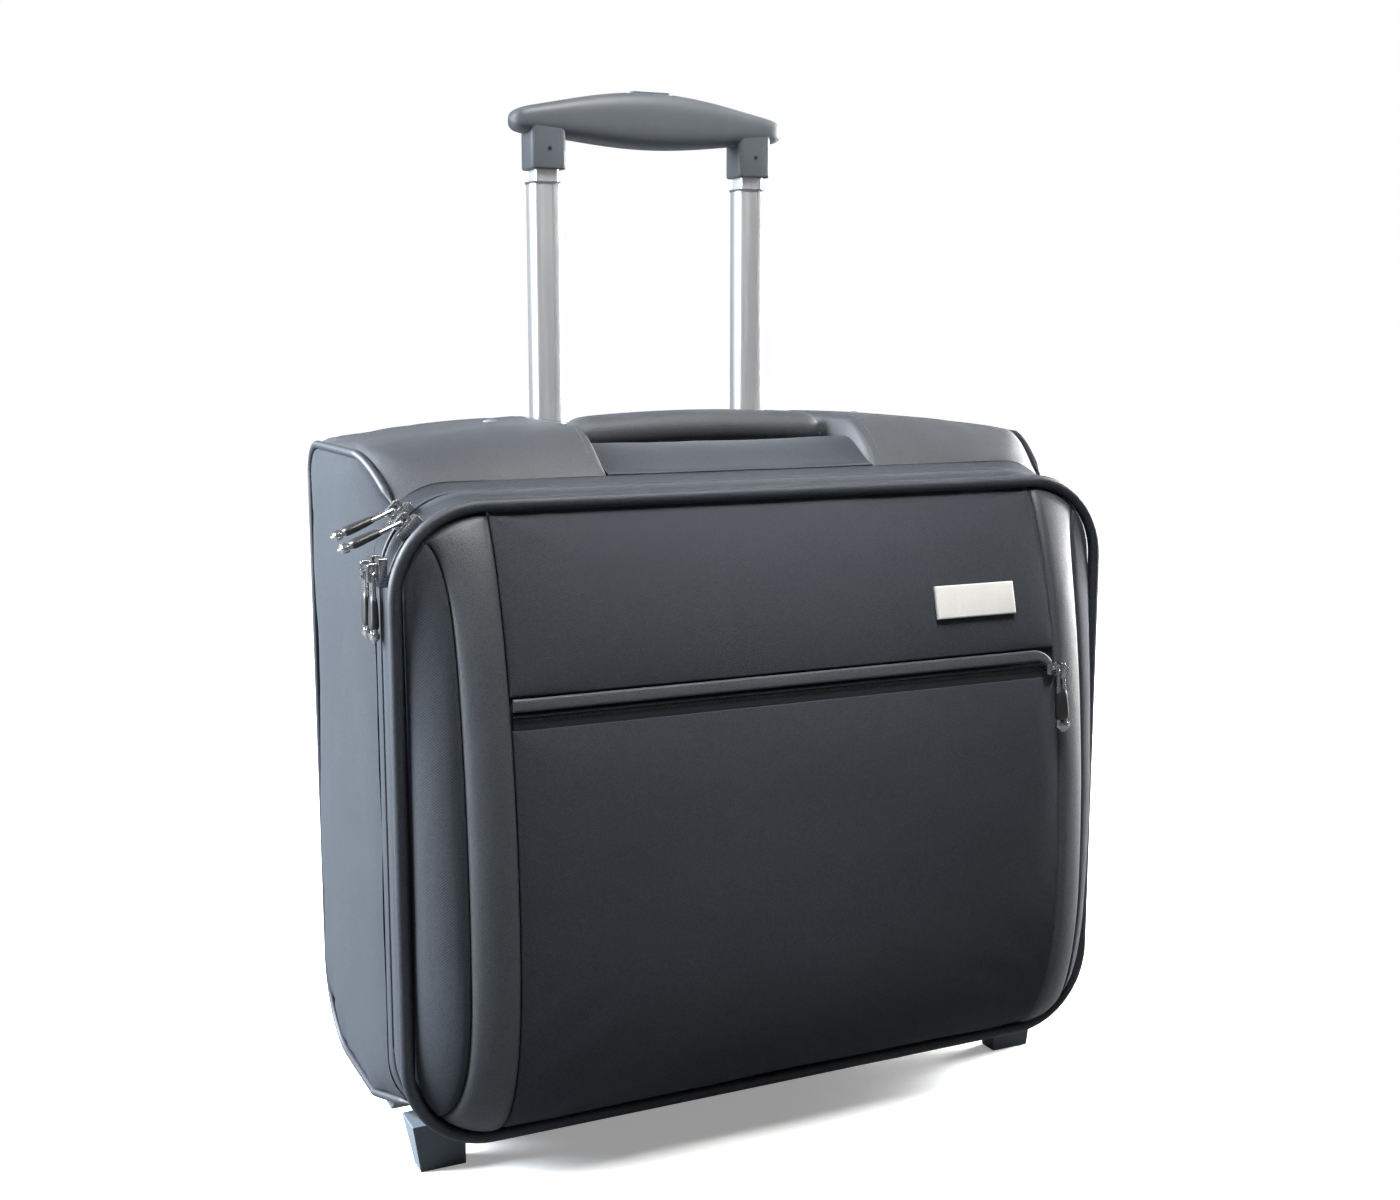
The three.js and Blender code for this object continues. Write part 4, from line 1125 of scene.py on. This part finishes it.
def organizer():
    """A flat pocket on the divider, sewn down in three parts, with a bound top edge."""
    low, high = box("organizer_pocket")
    parts = 3
    width = high.x - low.x

    def face(u, v):
        dip = abs(math.sin(u * parts * math.pi)) ** 0.35
        return mix(low.x, high.x, u), mix(high.y, low.y, 0.25 + 0.6 * dip), mix(low.z, high.z, v)

    us = sorted({*spread(width, 5 * MM), *(k / parts for k in range(1, parts))})
    panel("organizer_cloth", us, spread(high.z - low.z, 8 * MM), face, "middle_section", "lining",
          ["organizer_pocket"], thick=1.2 * MM, puff=0, slack=0.4 * MM, looks=(0, -1, 0))
    xs = np.linspace(low.x, high.x, 90)
    top = [(x, face((x - low.x) / width, 1)[1] - 0.3 * MM, high.z - 4 * MM) for x in xs]
    swept("organizer_binding", top, rounded_bar(10 * MM, 1.6 * MM), (0, -1, 0), "middle_section", "piping")
    for k in range(1, parts):
        x = mix(low.x, high.x, k / parts)
        y = face(k / parts, 0.5)[1] - 0.2 * MM
        stitches(f"organizer_stitches_{k}", [(x, y, low.z + 4 * MM), (x, y, high.z - 10 * MM)], (0, -1, 0),
                 "middle_section")


organizer()


# ---- Grab handle ----


def roll(name, low, high, rings, sides, radius, drop, body, finish, replaces):
    """A padded roll along X with rounded ends; radius(t) and drop(t) take t from -1 to 1."""
    points = []
    centre = (low + high) / 2
    for t in rings:
        for turn in np.arange(sides) * 2 * math.pi / sides:
            wide, tall = radius(t, turn)
            points.append((centre.x + t * (high.x - low.x) / 2, centre.y + wide * math.cos(turn),
                           high.z + drop(t) + tall * math.sin(turn)))
    faces = grid_faces(len(rings), sides, closed=True)
    faces += [tuple(range(sides))[::-1], tuple(range((len(rings) - 1) * sides, len(rings) * sides))]
    return piece(name, points, faces, finish, body, replaces)


ROUNDED = [-math.cos(t) for t in np.linspace(0, math.pi, 56)]


def grab_handle():
    low, high = box("grab_handle")
    low.x, high.x = GAP - BAY_X, BAY_X - GAP
    r = (high.z - low.z) / 2
    crown = 3.5 * MM  # how far the roll bows up in the middle

    def girth(t):
        return r * math.sqrt(max(0.03, 1 - abs(t) ** 22))

    def height(t):
        return crown * (1 - t * t) - r

    def radius(t, turn):
        flat = 1 - 0.12 * max(0.0, -math.sin(turn))
        return girth(t) * 1.15, girth(t) * flat

    roll("grab_handle_roll", low, high, ROUNDED, 28, radius, height, "carry_handle", "matte_and_top_shade", ["grab_handle"])
    middle = (low + high) / 2
    seam_path = [(t * high.x, middle.y - girth(t) * 0.95, high.z + height(t) - girth(t) * 0.52)
                 for t in np.linspace(-0.96, 0.96, 60)]
    stitches("grab_handle_stitches", seam_path, (0, -0.8, -0.6), "carry_handle")
    for end, side in SIDES:
        path = [(side * x, middle.y, high.z - r - 2 * MM) for x in np.linspace(72 * MM, 104 * MM, 24)]
        strap = swept(f"grab_handle_strap_{end}", path, rounded_bar(12 * MM, 2.4 * MM), (0, 0, 1), None, "matte_and_top_shade")
        bend(strap, "case", "carry_handle", (side * 102 * MM, middle.y, high.z), (side * 78 * MM, middle.y, high.z))


grab_handle()


def rivet(end):
    """A low domed cap, seated on the corner panel."""
    low, high = box(f"rivet_{end}")
    middle = (low + high) / 2
    rise = np.array([-4, -1, -0.5, 0, 0.3]) * MM
    swept(f"rivet_{end}_cap", [(middle.x, middle.y, low.z + at) for at in rise], circle(4.5 * MM, 24), (0, 1, 0),
          "case", "plastic", [f"rivet_{end}"], scale=[1, 1, 0.93, 0.7, 0.3])


for end, _ in SIDES:
    rivet(end)


# ---- Trolley ----


def trolley_grip():
    """The grip: a long lens, full in the middle and thinner over the sockets, with rounded ends."""
    low, high = box("grip")
    depth = (high.y - low.y) / 2
    tall = (high.z - low.z) / 2 + 2.6 * MM
    squareness = 3.2

    def radius(t, turn):
        end = math.sqrt(max(0.02, 1 - abs(t) ** 22))
        lens = 0.45 + 0.55 * (1 - t * t) ** 1.8
        square = (abs(math.cos(turn)) ** squareness + abs(math.sin(turn)) ** squareness) ** (-1 / squareness)
        return depth * end * square * (0.75 + 0.2 * lens), tall * lens * end * square

    return roll("grip_shell", low, high, ROUNDED, 40, radius, lambda t: 2 * MM - tall - 3.3 * MM * t * t,
                "trolley_inner", "grip", ["grip"])


def tube_socket(end):
    """A socket: a square block with rounded corners that runs up into the grip, with a pin through it."""
    low, high = box(f"tube_socket_{end}")
    middle = (low + high) / 2
    a = (high.x - low.x) / 2
    corner = 3 * MM
    section = []
    for quarter in range(4):
        cx, cy = (a - corner) * (1, -1, -1, 1)[quarter], (a - corner) * (1, 1, -1, -1)[quarter]
        for turn in (quarter + np.linspace(0, 1, 5)) * math.pi / 2:
            section.append((cx + corner * math.cos(turn), cy + corner * math.sin(turn)))
    top = high.z + 12 * MM
    heights = [low.z, low.z + 0.5 * MM, low.z + 1.2 * MM, high.z - 2 * MM, top]
    swept(f"tube_socket_{end}_shell", [(middle.x, middle.y, z) for z in heights], section, (0, 1, 0),
          "trolley_inner", "grip", [f"tube_socket_{end}"], scale=[0.94, 0.985, 1, 1, 1])
    pin = [(middle.x, low.y + at, low.z + 12 * MM) for at in (-0.25 * MM, 0.6 * MM)]
    swept(f"tube_socket_{end}_pin", pin, circle(1.3 * MM, 14), (0, 0, 1), "trolley_inner", "insert")


def middle_tube(end):
    """A tube with bevelled corners and a groove down its front."""
    low, high = box(f"middle_tube_{end}")
    middle = (low + high) / 2
    a, b = (high.x - low.x) / 2, (high.y - low.y) / 2
    corner, groove, depth = 3 * MM, 2.6 * MM, 0.9 * MM
    front = [(-a, corner - b), (corner - a, -b), (-groove, -b), (0.4 * MM - groove, depth - b),
             (groove - 0.4 * MM, depth - b), (groove, -b), (a - corner, -b), (a, corner - b)]
    outline_points = front + [(a, b - corner), (a - corner, b), (corner - a, b), (-a, b - corner)]
    path = [(middle.x, middle.y, low.z), (middle.x, middle.y, high.z)]
    swept(f"middle_tube_{end}_facets", path, outline_points, (0, 1, 0), "trolley_middle", "aluminium",
          [f"middle_tube_{end}"])
    collar = [(middle.x, middle.y, high.z - 0.9 * MM), (middle.x, middle.y, high.z + 0.4 * MM)]
    swept(f"middle_tube_{end}_collar", collar, [(x * 1.06, y * 1.06) for x, y in outline_points], (0, 1, 0),
          "trolley_middle", "plastic")


trolley_grip()
for end, _ in SIDES:
    middle_tube(end)
    tube_socket(end)


# ---- Pulls ----


def long_axes(node):
    """The middle and the axes of a flat piece, longest first, from its own points."""
    points = np.array([v.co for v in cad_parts[node].data.vertices], float) - np.array(HOME)
    _, _, axes = np.linalg.svd(points - points.mean(0), full_matrices=False)
    reach = [np.ptp(points @ axis) for axis in axes]
    middle = sum(axis * (points @ axis).min() + axis * reach[i] / 2 for i, axis in enumerate(axes))
    return middle, axes, reach


def pull(name, lean):
    """A pull: a rounded metal frame, narrow at its bar, with a dark grip let into it and a metal tip.

    lean is how far its tip lies off the line of the CAD pull, where it rests on a swollen panel.
    """
    middle, (long_axis, wide_axis, thin_axis), (length, width, _) = long_axes(f"{name}_pull")
    low, high = box(f"{name}_slider")
    if (np.array(low + high) / 2 - middle) @ long_axis > 0:
        long_axis = -long_axis
    wire = 1.3 * MM
    half = length / 2 - wire
    body = f"{name}_pull"

    def at(along, across=0.0):
        return middle + long_axis * along + wide_axis * across + np.array(lean) * (along / half + 1) / 2

    loop = []
    for turn in np.linspace(0, 2 * math.pi, 48, endpoint=False):
        along = math.copysign(abs(math.cos(turn)) ** 0.45, math.cos(turn)) * half
        taper = 0.88 * mix(0.62, 1.0, smooth((along / half + 1) / 1.2))
        loop.append(at(along, math.copysign(abs(math.sin(turn)) ** 0.5, math.sin(turn)) * (width / 2 - wire) * taper))
    swept(f"{name}_pull_frame", loop, circle(wire, 8), thin_axis, body, "sliders", [f"{name}_pull"], closed=True)
    steps = 14
    ends = np.linspace(-1, 1, steps)
    grip_scale = np.sqrt(np.maximum(0.1, 1 - ends**6)) * np.linspace(0.72, 1, steps)
    swept(f"{name}_pull_insert", [at(along * half) for along in np.linspace(-0.42, 0.72, steps)],
          rounded_bar(width + 0.9 * wire, 4.8 * MM), thin_axis, body, "insert", scale=grip_scale)
    swept(f"{name}_pull_tip", [at(along * half) for along in np.linspace(0.76, 1.0, 6)],
          rounded_bar(width + 0.5 * wire, 4.8 * MM), thin_axis, body, "sliders", scale=[1, 1, 1, 0.96, 0.86, 0.6])


for name in ("front_zip_top", "front_zip_side", "main_zip_top", "main_zip_side"):
    pull(name, (0, 0, 0))
pull("pocket", (0, -3.2 * MM, 0))


# ---- CAD pieces that stay, with their edges softened ----

HARD_FINISH = {
    "axle": "steel", "foot": "plastic", "outer_tube": "steel", "rivet": "plastic", "tube_bezel": "plastic",
    "tube_bracket": "plastic", "wheel_housing": "plastic", "middle_tube": "aluminium", "inner_tube": "aluminium",
    "tube_socket": "grip", "grip": "grip", "grip_button": "plastic", "wheel_hub": "plastic", "tyre": "tyre",
    "badge_plate": "badge", "trolley_cover": "lining",
}
for name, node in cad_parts.items():
    kind = name.removesuffix("_left").removesuffix("_right")
    finish = HARD_FINISH.get(kind, "sliders" if kind.endswith(("_slider", "_pull")) else "lining")
    node.data.materials.clear()
    node.data.materials.append(FINISHES[finish])
    weld = node.modifiers.new("weld", "WELD")
    weld.merge_threshold = 0.005 * MM
    bevel = node.modifiers.new("bevel", "BEVEL")
    bevel.width = 0.5 * MM if finish != "sliders" else 0.35 * MM
    bevel.segments = 2
    bevel.limit_method = "ANGLE"
    bevel.angle_limit = math.radians(40)
    node.modifiers.new("shading", "WEIGHTED_NORMAL")


# ---- Studio ----

def studio():
    scene = bpy.context.scene
    scene.view_settings.view_transform = "Standard"
    world = bpy.data.worlds.new("studio")
    scene.world = world
    world.use_nodes = True
    tree = world.node_tree
    fill = tree.nodes["Background"]
    fill.inputs["Color"].default_value = (0.93, 0.96, 1.0, 1)
    way = tree.nodes.new("ShaderNodeTexCoord")
    split = tree.nodes.new("ShaderNodeSeparateXYZ")
    tree.links.new(way.outputs["Generated"], split.inputs[0])
    sky = tree.nodes.new("ShaderNodeMapRange")
    tree.links.new(split.outputs["Z"], sky.inputs["Value"])
    for socket, value in (("From Min", -0.1), ("From Max", 1.0), ("To Min", 0.01), ("To Max", 0.05)):
        sky.inputs[socket].default_value = value
    tree.links.new(sky.outputs[0], fill.inputs["Strength"])
    seen = tree.nodes.new("ShaderNodeBackground")
    seen.inputs["Color"].default_value = (1, 1, 1, 1)
    seen.inputs["Strength"].default_value = 1.0
    pick = tree.nodes.new("ShaderNodeMixShader")
    rays = tree.nodes.new("ShaderNodeLightPath")
    bright = tree.nodes.new("ShaderNodeMath")
    bright.operation = "MULTIPLY_ADD"
    bright.inputs[1].default_value = 0.26
    tree.links.new(rays.outputs["Is Glossy Ray"], bright.inputs[0])
    tree.links.new(rays.outputs["Is Camera Ray"], bright.inputs[2])
    tree.links.new(bright.outputs[0], pick.inputs[0])
    tree.links.new(fill.outputs[0], pick.inputs[1])
    tree.links.new(seen.outputs[0], pick.inputs[2])
    tree.links.new(pick.outputs[0], tree.nodes["World Output"].inputs[0])

    floor = bpy.data.meshes.new("floor")
    reach = 12
    floor.from_pydata([(-reach, -reach, 0), (reach, -reach, 0), (reach, reach, 0), (-reach, reach, 0)], [], [(0, 1, 2, 3)])
    paper = Finish("floor_paper", (0.97, 0.96, 0.95), 0.9)
    far = paper.node("VectorMath", paper.place.outputs["Object"], operation="LENGTH").outputs["Value"]
    seen = paper.node("LightPath").outputs["Is Camera Ray"]
    glow = paper.range(far, 0.3, 1.0, 0.45, 1.3)
    paper.set(Emission_Color=(1, 1, 1, 1), Emission_Strength=paper.math("MULTIPLY", glow, seen))
    paper.set(Base_Color=paper.blend(seen, (0.12, 0.12, 0.12), (1, 1, 1)))
    floor.materials.append(paper.material)
    ground = bpy.data.objects.new("floor", floor)
    scene.collection.objects.link(ground)

    trolley, bag = [bpy.data.collections.new(name) for name in ("lit_as_trolley", "lit_as_bag")]
    for made in [made for made in scene.objects if made.type == "MESH"]:
        pale = "tube_" in made.name or "grip_shell" in made.name
        (trolley if pale else bag).objects.link(made)

    def softbox(place, target, size, power, colour=(1, 1, 1), spread=180, lit=None):
        light = bpy.data.lights.new("softbox", "AREA")
        light.shape = "DISK"
        light.size = size
        light.energy = power
        light.color = colour
        light.spread = math.radians(spread)
        made = bpy.data.objects.new("softbox", light)
        scene.collection.objects.link(made)
        made.location = place
        made.rotation_euler = (Vector(target) - Vector(place)).to_track_quat("-Z", "Y").to_euler()
        made.light_linking.receiver_collection = lit

    middle = (0, 0, 0.25)
    for lit, power in ((bag, 275), (trolley, 55)):
        softbox((-1.6, 0.7, 1.0), middle, 1.1, power, (0.86, 0.93, 1.0), lit=lit)
    softbox((0, -0.37, 1.05), (0, -0.05, 0.42), 0.5, 2.4, (1.0, 0.99, 0.97), spread=52)
    softbox((1.8, 0.3, 0.7), middle, 0.9, 85)

    lens = bpy.data.cameras.new("camera")
    lens.lens = 44.31
    lens.sensor_width = 36
    camera = bpy.data.objects.new("camera", lens)
    scene.collection.objects.link(camera)
    camera.location = Vector((-0.4434, -0.9254, 0.4572)) + HOME
    camera.rotation_euler = (math.radians(81.12), 0, math.radians(-25.36))
    scene.camera = camera


studio()
